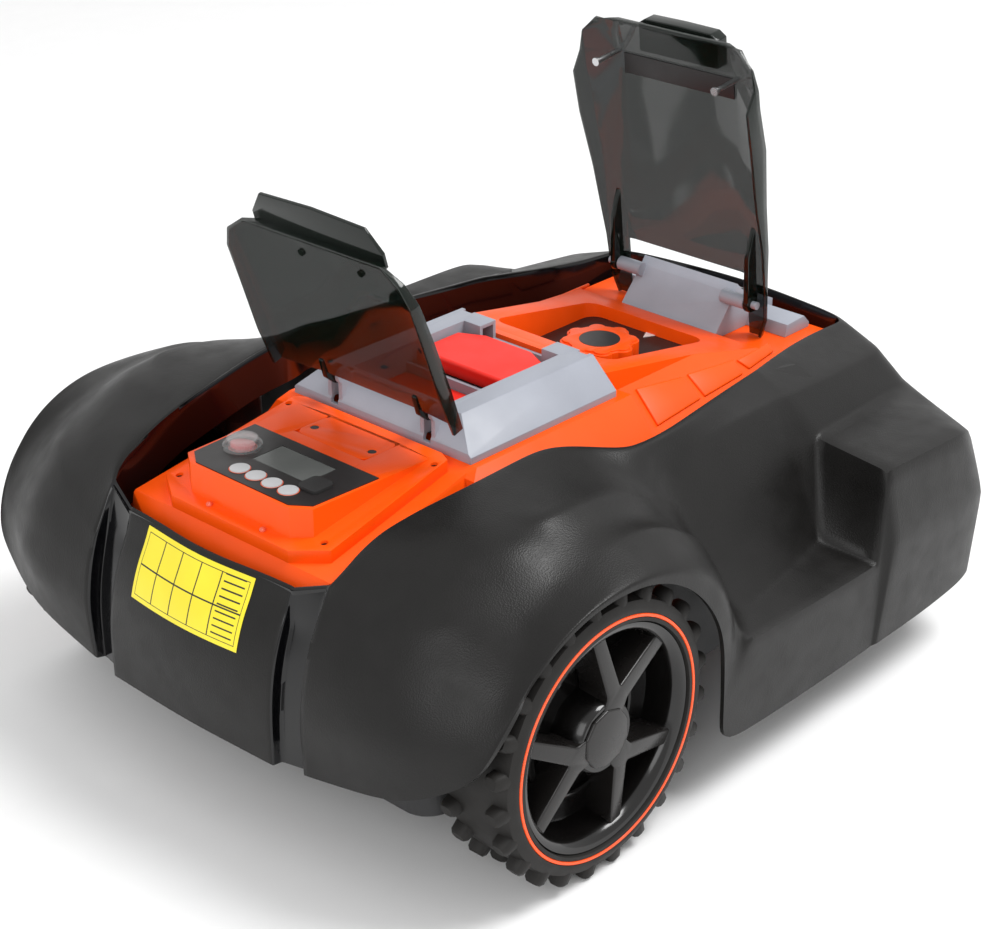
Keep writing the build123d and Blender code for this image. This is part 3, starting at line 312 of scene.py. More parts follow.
def add_piece(name: str, form: bmesh.types.BMesh, body: str, *finishes: Finish,
              bevel: float = 0.0, segments: int = 3, angle: float = 38.0) -> bpy.types.Object:
    """Make a mesh object from a form, dress it and fix it to a body.

    Args:
        name: Piece name.
        form: Finished shape in metres; it is freed here.
        body: CAD body that the piece moves with.
        finishes: One finish per material index.
        bevel: Edge rounding in millimetres.
        segments: Steps in each rounded edge.
        angle: Largest angle shaded smooth, in degrees.

    Returns:
        The new object.
    """
    mesh = bpy.data.meshes.new(name)
    form.to_mesh(mesh)
    form.free()
    item = bpy.data.objects.new(name, mesh)
    bpy.context.scene.collection.objects.link(item)
    for finish in finishes:
        mesh.materials.append(finish.material())
    if bevel:
        round_edges(item, bevel, segments)
    smooth(item, angle)
    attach(item, body)
    return item


def round_edges(item: bpy.types.Object, width: float, segments: int = 3,
                angle: float = 28.0) -> None:
    """Round every edge sharper than an angle, and keep the result.

    Args:
        item: Object to change.
        width: Edge rounding in millimetres.
        segments: Steps in each rounded edge.
        angle: Smallest edge angle that is rounded, in degrees.
    """
    rounding = item.modifiers.new("edges", "BEVEL")
    rounding.width = width * MM
    rounding.segments = segments
    rounding.limit_method = "ANGLE"
    rounding.angle_limit = math.radians(angle)
    rounding.use_clamp_overlap = True
    rounding.miter_outer = "MITER_ARC"
    bake(item)


def refine(node: str, finish: Finish, width: float = 0.6, segments: int = 3) -> bpy.types.Object:
    """Stand a round-edged copy in for a CAD node, with its finish.

    Args:
        node: CAD node to refine.
        finish: Finish of the copy.
        width: Edge rounding in millimetres.
        segments: Steps in each rounded edge.

    Returns:
        The new object.
    """
    source = frame["nodes"][node]
    form = bmesh.new()
    form.from_mesh(source.data)
    bmesh.ops.remove_doubles(form, verts=form.verts, dist=1e-6)
    bmesh.ops.dissolve_limit(form, angle_limit=math.radians(0.6), verts=form.verts,
                             edges=form.edges)
    for face in form.faces:
        face.material_index = 0
    item = add_piece(f"{node}_fine", form, source["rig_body"], finish, bevel=width,
                     segments=segments)
    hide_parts(node)
    return item


def dress(node: str, finish: Finish) -> None:
    """Give a CAD node its finish, with its shape left alone."""
    mesh = frame["nodes"][node].data
    mesh.materials.clear()
    mesh.materials.append(finish.material())


def prism(form: bmesh.types.BMesh, outline: list[Point], push: Point, index: int = 0) -> None:
    """Add a closed outline pushed along a vector.

    Args:
        form: Form that gets the prism.
        outline: Corner points in millimetres.
        push: Vector in millimetres.
        index: Material index.
    """
    low = [form.verts.new(metres(point)) for point in outline]
    high = [form.verts.new(metres(point) + metres(push)) for point in outline]
    faces = [form.faces.new(low), form.faces.new(high[::-1])]
    for here in range(len(low)):
        after = (here + 1) % len(low)
        faces.append(form.faces.new((low[after], low[here], high[here], high[after])))
    for face in faces:
        face.material_index = index
    bmesh.ops.recalc_face_normals(form, faces=faces)


def lathe(form: bmesh.types.BMesh, profile: list[Flat], centre: Point, axis: str,
          steps: int = 96, index: int = 0, closed: bool = False) -> None:
    """Add a surface turned round an axis.

    Args:
        form: Form that gets the surface.
        profile: (radius, distance along the axis) points in millimetres.
        centre: Point on the axis that distances start from.
        axis: "X", "Y" or "Z".
        steps: Facets round the axis.
        index: Material index.
        closed: Whether the last point joins the first.
    """
    rings = []
    for radius, along in profile:
        if radius < 1e-6:
            rings.append([form.verts.new(metres(turned(centre, axis, 0.0, 0.0, along)))] * steps)
            continue
        rings.append([
            form.verts.new(metres(turned(centre, axis, radius, 2 * math.pi * step / steps, along)))
            for step in range(steps)
        ])
    if closed:
        rings.append(rings[0])
    faces = []
    for near, far in zip(rings, rings[1:]):
        for step in range(steps):
            after = (step + 1) % steps
            corners = []
            for vert in (near[step], near[after], far[after], far[step]):
                if vert not in corners:
                    corners.append(vert)
            if len(corners) > 2:
                faces.append(form.faces.new(corners))
    for face in faces:
        face.material_index = index
    bmesh.ops.recalc_face_normals(form, faces=faces)


def turned(centre: Point, axis: str, radius: float, angle: float, along: float) -> Point:
    """Point at a radius and angle round an axis through a centre, all in millimetres.

    Args:
        centre: Point on the axis.
        axis: "X", "Y" or "Z".
        radius: Distance from the axis.
        angle: Angle round the axis, in radians.
        along: Distance along the axis.

    Returns:
        The point.
    """
    side, rise = radius * math.cos(angle), radius * math.sin(angle)
    x, y, z = centre
    return {
        "X": (x + along, y + side, z + rise),
        "Y": (x + side, y + along, z + rise),
        "Z": (x + side, y + rise, z + along),
    }[axis]


def mirrored(points: list[Flat]) -> list[Flat]:
    """Close an outline, given on the +first side from bottom to top, with its mirror image."""
    return points + [(-first, second) for first, second in reversed(points) if first]


# ---------------------------------------------------------------------------- floating shell
@dataclass
class Station:
    """One column of shell points, from the deck opening down to the lower edge.

    Attributes:
        points: Inner wall foot, rim, lip, crease, ledge inside, ledge outside, belt, lower edge.
        creases: Sharpness of the edge from each row to the next station.
        seam: Sharpness of the column itself.
        gloss: Whether the strip to the next station is glossy.
        dip: Drop of the valley between the crease and the ledge.
        share: Place of the valley from the crease (0) to the ledge (1).
    """

    points: list[Point]
    creases: dict[int, float] = field(default_factory=dict)
    seam: float = 0.0
    gloss: bool = False
    dip: float = 0.0
    share: float = 0.5

    def rows(self) -> list[Point]:
        """Points with the valley put in between the crease and the ledge.

        Returns:
            The nine points of the column.
        """
        crease, ledge = Vector(self.points[3]), Vector(self.points[4])
        valley = crease.lerp(ledge, self.share) - Vector((0.0, 0.0, self.dip))
        return [*self.points[:4], tuple(valley), *self.points[4:]]


@dataclass
class FloatingShell:
    """Black outer shell: fenders over the drive wheels, side ledges, front blocks and nose."""

    wall: float = 3.0
    recess: float = 5.0
    rim_sharp: float = 0.8
    fender_top: tuple[int, int] = (12, 3)
    levels: int = 3

    def stations(self) -> list[Station]:
        """Columns of the left half, from the middle of the tail to the middle of the nose.

        Returns:
            The columns.
        """
        rim = {1: self.rim_sharp, 2: 0.25}
        fender = {**rim, 5: 0.45, 7: 0.3}
        ridge = {**fender, 3: 0.55}
        dome = {**rim, 5: 0.12, 7: 0.3}
        rail = {**rim, 3: 0.85, 4: 0.8, 5: 0.9, 6: 0.9}
        block = {**rim, 3: 0.85, 5: 0.85, 6: 0.8, 7: 0.55}
        inset = self.recess
        return [
            Station([(-281, 0, 168), (-285, 0, 197), (-288, 0, 196), (-294, 0, 184),
                     (-301, 0, 170), (-308, 0, 150), (-312, 0, 118), (-308, 0, 78)], rim),
            Station([(-275, 50, 168), (-279, 50, 197.5), (-282, 50, 196.5), (-288, 50, 184),
                     (-296, 50, 170), (-304, 50, 150), (-309, 50, 118), (-306, 50, 78)], rim),
            Station([(-275, 79, 168), (-278, 79, 197.5), (-280, 79, 196.5), (-284, 79, 184),
                     (-291, 79.5, 170), (-299, 80, 150), (-305, 81, 118), (-304, 81, 77)],
                    rim, 0.95, True),
            Station([(-275, 80, 168), (-278, 80, 197), (-280, 80, 196),
                     (-282, 80, 183), (-288 + inset, 81, 170), (-296 + inset, 81.5, 150),
                     (-302 + inset, 82, 118), (-302 + inset, 82, 77)], rim, 0.7, True),
            Station([(-269, 104, 175), (-271, 104, 205), (-273, 104, 204.5),
                     (-277, 104, 191), (-282, 104, 172), (-294 + inset, 104, 148),
                     (-299 + inset, 104, 118), (-298 + inset, 104, 78)], rim, 0.7, True),
            Station([(-268, 105, 176), (-270, 106, 206.5), (-273, 107, 206), (-281, 106, 191),
                     (-291, 106, 172), (-299, 106, 150), (-303, 106, 120), (-300, 105, 79)],
                    fender, 0.95),
            Station([(-261, 107.5, 182), (-262, 109.5, 214.5), (-264, 113, 214), (-271, 132, 201),
                     (-284, 140, 179), (-297, 143, 155), (-304, 145, 125), (-297, 143, 84)],
                    fender),
            Station([(-248, 107, 188), (-251, 109.5, 221.5), (-254, 117, 221), (-257, 150, 214),
                     (-268, 179, 197), (-287, 186, 168), (-300, 188, 132), (-293, 187, 91)],
                    fender),
            Station([(-230, 109, 196), (-233, 111, 229.5), (-236, 119, 229), (-239, 160, 223),
                     (-243, 202, 206), (-264, 216, 176), (-279, 222, 142), (-284, 222, 112)],
                    dome, dip=-2.0),
            Station([(-213, 112, 201), (-215, 114, 233.5), (-216, 122, 233.5), (-217, 170, 232),
                     (-220, 221, 204), (-247, 237, 181), (-268, 244.5, 152), (-279, 243, 130)],
                    dome, dip=-3.0),
            Station([(-199, 114, 204), (-201, 116, 236), (-201, 124, 236.5), (-200, 180, 238),
                     (-198, 222, 212), (-222, 244, 203), (-241, 250, 191), (-254, 250, 178)],
                    dome, dip=-2.0),
            Station([(-176, 117, 207), (-178, 120, 239), (-178, 128, 240), (-176, 188, 240.5),
                     (-176, 222, 219.5), (-186, 244, 213), (-198, 251, 212), (-205, 251, 206.5)],
                    ridge, dip=2.5),
            Station([(-152, 121, 210), (-154, 123.5, 242), (-154, 131, 243), (-150, 189, 241),
                     (-148, 222, 226), (-152, 244, 218), (-157, 251, 214), (-162, 251, 210)],
                    ridge, dip=4.0),
            Station([(-124, 125, 213), (-125, 127, 246), (-124, 135, 246), (-121, 187.5, 237.5),
                     (-115, 222, 225), (-118, 243, 215), (-122, 251, 209), (-126, 251, 204.5)],
                    ridge, dip=5.0),
            Station([(-98, 126, 214), (-99, 129, 247.5), (-97, 136, 247), (-93, 186, 231),
                     (-84, 222, 216), (-84, 242, 204), (-88, 250.5, 195), (-92, 251, 185)],
                    ridge, dip=6.5),
            Station([(-74, 137, 209), (-75, 140, 243), (-73, 147, 242.5), (-70, 185.5, 221.5),
                     (-59, 221.5, 201), (-60, 241, 187), (-63, 250, 174), (-69, 251, 158)],
                    ridge, dip=8.0),
            Station([(-50, 152, 204), (-51, 155, 237.5), (-50, 161, 236.5), (-50, 185.5, 205.5),
                     (-41, 218, 186), (-43, 238, 170), (-49, 249.5, 152), (-58, 251, 135)],
                    ridge, dip=8.0),
            Station([(-33, 151, 203), (-34, 154.5, 235), (-33, 160, 234.5), (-30, 170, 212),
                     (-29, 213, 163), (-33, 236, 146), (-41, 248, 130), (-55, 251, 112)],
                    {**rail, 4: 0.3, 5: 0.3, 6: 0.3}, dip=6.0, share=0.55),
            Station([(-17, 151, 202), (-18, 154, 234), (-17, 159, 233), (-16, 165.5, 214.5),
                     (-19, 226, 128), (-30, 249, 118.5), (-43, 251, 98), (-54, 251, 82)],
                    {**rail, 4: 0.6, 5: 0.6, 6: 0.6}, 0.2, dip=8.0, share=0.6),
            Station([(4, 149, 202), (4, 152, 233.5), (4, 157, 232.5), (6, 164, 217),
                     (2, 227.5, 124.5), (-24, 250.5, 117), (-41, 251, 85), (-53, 250.5, 47)],
                    rail, 0.3, dip=9.5, share=0.61),
            Station([(40, 143, 201), (40, 146.5, 233), (40, 151.5, 232), (41, 163.5, 219),
                     (41, 220.5, 124.2), (38, 250.5, 116), (37, 251, 85), (36, 250, 45)],
                    rail, dip=6.5, share=0.61),
            Station([(86, 135, 200), (86, 139, 232), (86, 144, 231), (88, 162, 219.5),
                     (88, 212.5, 124), (100, 250.5, 115), (108, 250.5, 84), (110, 249.5, 46)],
                    rail, dip=3.0, share=0.61),
            Station([(112, 132, 199), (112, 135.5, 231.5), (112, 140, 230.5), (112, 161, 219),
                     (110, 207, 124), (123, 250.5, 115.5), (127, 250.5, 84), (124, 249.5, 47)],
                    rail, 0.85, dip=2.0, share=0.61),
            Station([(124, 130, 199), (124, 133.5, 231), (124, 138, 230.5), (126, 160.5, 218.5),
                     (139, 180, 187.5), (128, 249, 187), (134, 256.5, 131), (128, 251.5, 48)],
                    block, 0.7),
            Station([(184, 114, 196), (184, 118, 226), (184, 122.5, 225.5), (186, 157.5, 214.5),
                     (190, 176.5, 186), (184, 251, 186), (190, 257, 129), (190, 250.5, 48)], block),
            Station([(226, 109, 194), (226, 112.5, 223), (226, 117, 222.5), (228, 153.5, 212),
                     (236, 173.5, 185.5), (226, 252, 185), (240, 257, 127), (242, 249.5, 52)],
                    block, 0.2),
            Station([(259, 109.5, 192), (260, 112, 221), (261, 115, 220.5), (258, 152, 209.5),
                     (270, 171, 183), (246, 243, 176), (257, 253, 126), (258, 247, 57)],
                    {**rim, 3: 0.7, 5: 0.5, 6: 0.3}, 0.35),
            Station([(269, 102, 191), (271, 104, 220), (273, 107, 219.5), (277, 130, 206),
                     (286, 152, 182), (276, 205, 160), (281, 215, 122), (279, 210, 55)],
                    {**rim, 3: 0.4}),
            Station([(274, 58, 190), (279, 60, 219), (282, 62, 218.5), (291, 68, 205),
                     (299, 82, 185), (301, 110, 155), (304, 120, 118), (299, 118, 50)],
                    {**rim, 3: 0.4}),
            Station([(281, 0, 190), (286, 0, 218.5), (289, 0, 218), (298, 0, 205),
                     (304, 0, 187), (309, 0, 155), (311.5, 0, 116), (306, 0, 46)], rim),
        ]

    def form(self) -> bmesh.types.BMesh:
        """Coarse cage of the whole shell, with creases for the subdivision.

        Returns:
            The cage.
        """
        left = self.stations()
        right = [
            Station([(x, -y, z) for x, y, z in left[here].points], left[here - 1].creases,
                    left[here].seam, left[here - 1].gloss, left[here].dip, left[here].share)
            for here in range(len(left) - 2, 0, -1)
        ]
        left[-1].creases = left[-2].creases
        loop = left + right
        form = bmesh.new()
        sharp = form.edges.layers.float.new("crease_edge")
        grid = [[form.verts.new(metres(point)) for point in station.rows()] for station in loop]
        for here, station in enumerate(loop):
            after = (here + 1) % len(loop)
            for row in range(len(station.points)):
                face = form.faces.new((grid[here][row], grid[here][row + 1],
                                       grid[after][row + 1], grid[after][row]))
                face.material_index = 1 if station.gloss or row == 0 else 0
        for here, station in enumerate(loop):
            after = (here + 1) % len(loop)
            for row, value in station.creases.items():
                form.edges.get((grid[here][row], grid[after][row]))[sharp] = value
            for row in range(1, len(station.points)):
                form.edges.get((grid[here][row], grid[here][row + 1]))[sharp] = station.seam
        form.faces.ensure_lookup_table()
        bmesh.ops.recalc_face_normals(form, faces=form.faces)
        station, row = self.fender_top
        probe = grid[station][row].link_faces[0]
        if probe.normal.z < 0:
            bmesh.ops.reverse_faces(form, faces=form.faces)
        return form

    def build(self) -> bpy.types.Object:
        """Subdivide the cage, give it its wall and put it in place of the CAD shell.

        Returns:
            The shell.
        """
        item = add_piece("shell_skin", self.form(), "shell", SHELL_BLACK, SHELL_GLOSS)
        finer = item.modifiers.new("finer", "SUBSURF")
        finer.levels = self.levels
        wall = item.modifiers.new("wall", "SOLIDIFY")
        wall.thickness = self.wall * MM
        wall.offset = -1.0
        bake(item)
        smooth(item, 45.0)
        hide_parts("shell")
        dress("shell_cups", SHELL_BLACK)
        return item


@dataclass
class TailPlate:
    """Plain yellow plate on the tail, ruled into empty cells."""

    width: float = 106.0
    height: float = 46.0
    middle: Flat = (3.0, 171.0)
    cell: float = 0.5
    line: float = 0.7
    columns: tuple[float, ...] = (0.0, 0.19, 0.38, 0.57, 0.76, 1.0)

    def inked(self, across: float, up: float) -> bool:
        """Whether a spot of the plate, in millimetres from its corner, carries a black line.

        Args:
            across: Distance from the left edge.
            up: Distance from the lower edge.

        Returns:
            True on a line.
        """
        edge = 3.0
        inner = (edge < across < self.width - edge) and (edge < up < self.height - edge)
        if not inner:
            return False
        rules = [edge + share * (self.width - 2 * edge) for share in self.columns]
        on_rule = any(abs(across - rule) < self.line for rule in rules)
        on_row = any(abs(up - row) < self.line for row in (edge, self.height / 2,
                                                          self.height - edge))
        last = across > rules[-2] + 3.0
        stripe = last and across < rules[-1] - 3.0 and abs((up % 4.5) - 2.0) < 0.5
        return on_rule or on_row or stripe

    def build(self, shell: bpy.types.Object) -> bpy.types.Object:
        """Lay a fine grid on the shell.

        Args:
            shell: Finished shell that the plate lies on.

        Returns:
            The plate.
        """
        form = bmesh.new()
        across = int(self.width / self.cell)
        up = int(self.height / self.cell)
        tail = millimetres("shell")[0].x
        rows = []
        for row in range(up + 1):
            rise = row * self.cell - self.height / 2
            rows.append([
                form.verts.new(metres((tail - 20, self.middle[0] + self.width / 2
                                       - column * self.cell, self.middle[1] + rise)))
                for column in range(across + 1)
            ])
        for row in range(up):
            for column in range(across):
                face = form.faces.new((rows[row][column], rows[row][column + 1],
                                       rows[row + 1][column + 1], rows[row + 1][column]))
                spot = ((column + 0.5) * self.cell, (row + 0.5) * self.cell)
                face.material_index = 1 if self.inked(*spot) else 0
        item = add_piece("tail_plate", form, "shell", LABEL_YELLOW, INK)
        lay = item.modifiers.new("lay", "SHRINKWRAP")
        lay.target = shell
        lay.wrap_method = "PROJECT"
        lay.use_project_x = True
        lay.use_negative_direction = False
        lay.use_positive_direction = True
        lay.offset = 0.35 * MM
        bake(item)
        smooth(item, 60.0)
        return item


# ---------------------------------------------------------------------------- wheels
@dataclass
class DriveWheel:
    """Rear wheel: studded tyre, orange ring, dished rim with forked spokes and a hub cap."""

    side: str
    tread: float = 95.0
    studs: int = 24
    stud_length: float = 7.6
    stud_radius: float = 6.4
    stud_reach: float = 7.4
    stud_inset: float = 9.0
    ring: float = 84.0
    spokes: int = 3
    first_spoke: float = 68.0
    fork_angles: Flat = (22.0, 31.0)
    fork_start: float = 35.0
    stem_half: float = 9.5
    spoke_depth: Flat = (28.0, 3.0)
    spoke_drop: float = 0.08
    stud_sides: int = 12
    stud_square: float = 0.7
    dish: float = 27.0
    cap_radius: float = 21.0
    cap_sides: int = 10
    lip: float = 79.5

    def __post_init__(self) -> None:
        """Take the wheel's place from the frame."""
        low, high = millimetres(f"tyre_{self.side}")
        self.sign = 1.0 if self.side == "left" else -1.0
        self.centre = ((low.x + high.x) / 2, 0.0, (low.z + high.z) / 2)
        self.inner = min(abs(low.y), abs(high.y))
        self.outer = max(abs(low.y), abs(high.y))
        self.body = f"{self.side}_wheel"

    def turned_form(self, profiles: list[tuple[list[Flat], int, bool]],
                    steps: int = 120) -> bmesh.types.BMesh:
        """Turn profiles given as (radius, distance from the centreline) on this side.

        Args:
            profiles: Profile, material index and whether it is closed.
            steps: Facets round the axis.

        Returns:
            The turned form.
        """
        form = bmesh.new()
        for profile, index, closed in profiles:
            spots = [(radius, self.sign * along) for radius, along in profile]
            lathe(form, spots, self.centre, "Y", steps, index, closed)
        return form

    def tyre(self) -> None:
        """Tyre with a crowned tread, a sidewall groove and two staggered rows of studs."""
        inside, outside = self.inner + 1.0, self.outer
        carcass = [
            (self.lip, inside), (self.tread - 6, inside), (self.tread - 1.5, inside + 2.5),
            (self.tread, inside + 8), (self.tread + 0.6, (inside + outside) / 2),
            (self.tread, outside - 8), (self.tread - 1.5, outside - 2.5),
            (self.tread - 6, outside - 0.4), (self.ring + 3.2, outside),
            (self.ring + 1.5, outside), (self.ring + 1.3, outside - 1.0),
            (self.ring - 1.3, outside - 1.0), (self.ring - 1.5, outside), (self.lip + 0.5, outside),
            (self.lip, outside - 1.5),
        ]
        form = self.turned_form([(carcass, 0, True)])
        for stud in range(self.studs):
            for row, share in ((0, 0.0), (1, 0.5)):
                self.stud(form, 2 * math.pi * (stud + share) / self.studs, row)
        item = add_piece(f"tyre_{self.side}_skin", form, self.body, TYRE, angle=40.0)
        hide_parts(f"tyre_{self.side}")
        band = [(self.ring + 1.4, outside - 1.0), (self.ring + 0.9, outside + 0.3),
                (self.ring - 0.9, outside + 0.3), (self.ring - 1.4, outside - 1.0)]
        add_piece(f"ring_{self.side}", self.turned_form([(band, 0, True)]), self.body, RING_ORANGE)

    def stud(self, form: bmesh.types.BMesh, angle: float, row: int) -> None:
        """Add one tread stud: a rounded block that leans in at its top.

        Args:
            form: Form that gets the stud.
            angle: Place round the wheel, in radians.
            row: 0 for the inner row and 1 for the outer row.
        """
        places = (self.inner + 1.0 + self.stud_inset, self.outer - self.stud_inset)
        middle = self.sign * places[row]
        levels = [(self.tread - 3.0, 1.0), (self.tread + self.stud_length - 2.2, 0.86),
                  (self.tread + self.stud_length, 0.62)]
        rings = []
        for radius, share in levels:
            ring = []
            for step in range(self.stud_sides):
                turn = 2 * math.pi * step / self.stud_sides
                cosine, sine = math.cos(turn), math.sin(turn)
                along = math.copysign(abs(cosine) ** self.stud_square, cosine)
                along *= self.stud_reach * share
                around = math.copysign(abs(sine) ** self.stud_square, sine)
                around *= self.stud_radius * share
                spot = Vector((around, middle + along, radius))
                spot.rotate(Matrix.Rotation(angle, 3, "Y"))
                ring.append(form.verts.new((spot + Vector(self.centre)) * MM))
            rings.append(ring)
        faces = [form.faces.new(rings[-1])]
        for near, far in zip(rings, rings[1:]):
            for step in range(self.stud_sides):
                after = (step + 1) % self.stud_sides
                faces.append(form.faces.new((near[step], near[after], far[after], far[step])))
        bmesh.ops.recalc_face_normals(form, faces=faces)

    def rim(self) -> None:
        """Dished rim, back plate and forked spokes."""
        face = self.outer - 2.0
        back = self.outer - self.dish
        barrel = [
            (self.lip - 0.3, face - 1), (self.lip - 1.0, face), (self.lip - 4.0, face - 0.5),
            (self.lip - 7.0, face - 3.0), (self.lip - 9.0, face - 8.0), (self.lip - 10.0, back + 6),
            (self.lip - 12.0, back), (30.0, back - 1.0), (0.0, back - 1.0),
        ]
        behind = [
            (0.0, back - 4.0), (self.lip - 14.0, back - 4.0), (self.lip - 12.0, self.inner + 6),
            (self.lip - 3.0, self.inner + 3.0), (self.lip - 0.3, self.inner + 3.0),
            (self.lip - 0.3, face - 1),
        ]
        step_ring = [(52.0, back - 1.0), (52.0, back + 3.0), (50.0, back + 4.0), (47.0, back + 4.0),
                     (46.0, back + 3.0), (46.0, back - 1.0)]
        hub = [(27.0, back - 1), (25.5, face - 4), (23.5, face - 2.0), (0.0, face - 2.0)]
        form = self.turned_form([(barrel, 0, False), (behind, 0, False), (step_ring, 0, False),
                                 (hub, 0, False)])
        item = add_piece(f"rim_{self.side}_dish", form, self.body, RIM_GLOSS, angle=42.0)
        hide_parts(f"wheel_rim_{self.side}")
        spokes = bmesh.new()
        for spoke in range(self.spokes):
            self.spoke(spokes, math.radians(self.first_spoke + 360.0 * spoke / self.spokes))
        add_piece(f"spokes_{self.side}", spokes, self.body, RIM_SATIN, bevel=1.6, segments=3)

    def spoke(self, form: bmesh.types.BMesh, angle: float) -> None:
        """Add one forked spoke.

        Args:
            form: Form that gets the spoke.
            angle: Place round the wheel, in radians.
        """
        reach = self.lip - 6.5
        near, far = (math.radians(fork_angle) for fork_angle in self.fork_angles)
        stem, fork = self.stem_half, self.fork_start
        fork_half = [(15.0, stem), (27.0, stem + 0.5),
                     (reach * math.cos(far), reach * math.sin(far)),
                     (reach * math.cos(near), reach * math.sin(near))]
        outline = [(along, -side) for along, side in fork_half] + [(fork, 0.0)]
        outline += fork_half[::-1]
        turn = Matrix.Rotation(-angle, 3, "Y")
        low, top = (self.sign * (self.outer - depth) for depth in self.spoke_depth)
        base, roof = [], []
        for along, side in outline:
            spot = Vector((along, 0.0, side))
            spot.rotate(turn)
            spot += Vector(self.centre)
            drop = self.sign * max(0.0, along - 30.0) * self.spoke_drop
            base.append(form.verts.new(metres((spot.x, low, spot.z))))
            roof.append(form.verts.new(metres((spot.x, top - drop, spot.z))))
        faces = []
        last = len(outline) - 1
        for group in (range(5), range(4, last + 1), (0, 4, last)):
            faces.append(form.faces.new([roof[number] for number in group]))
            faces.append(form.faces.new([base[number] for number in reversed(group)]))
        for here in range(last + 1):
            after = (here + 1) % (last + 1)
            faces.append(form.faces.new((base[here], base[after], roof[after], roof[here])))
        bmesh.ops.recalc_face_normals(form, faces=faces)

    def hub_cap(self) -> None:
        """Many-sided hub cap with rounded edges, and the axle's finish."""
        form = bmesh.new()
        face = self.sign * (self.outer - 6.5)
        outline = []
        for side in range(self.cap_sides):
            turn = 2 * math.pi * (side + 0.5) / self.cap_sides
            outline.append((self.centre[0] + self.cap_radius * math.cos(turn), face,
                            self.centre[2] + self.cap_radius * math.sin(turn)))
        prism(form, outline, (0.0, self.sign * 4.5, 0.0))
        item = add_piece(f"hub_{self.side}", form, self.body, RIM_SATIN, bevel=1.4)
        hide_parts(f"hub_cap_{self.side}")
        dress(f"axle_{self.side}", STEEL)

    def build(self) -> None:
        """Build every piece of the wheel."""
        self.tyre()
        self.rim()
        self.hub_cap()


# ---------------------------------------------------------------------------- clear lids
@dataclass(frozen=True)
class Section:
    """One level of a lid, in the lid's own upright frame.

    Attributes:
        height: Distance above the hinge.
        half: Half width.
        bend: How far the side facet turns in at the edge.
        shift: How far the whole level leans in.
        rim: Depth coordinate of the side rim's free edge.
    """

    height: float
    half: float
    bend: float
    shift: float
    rim: float


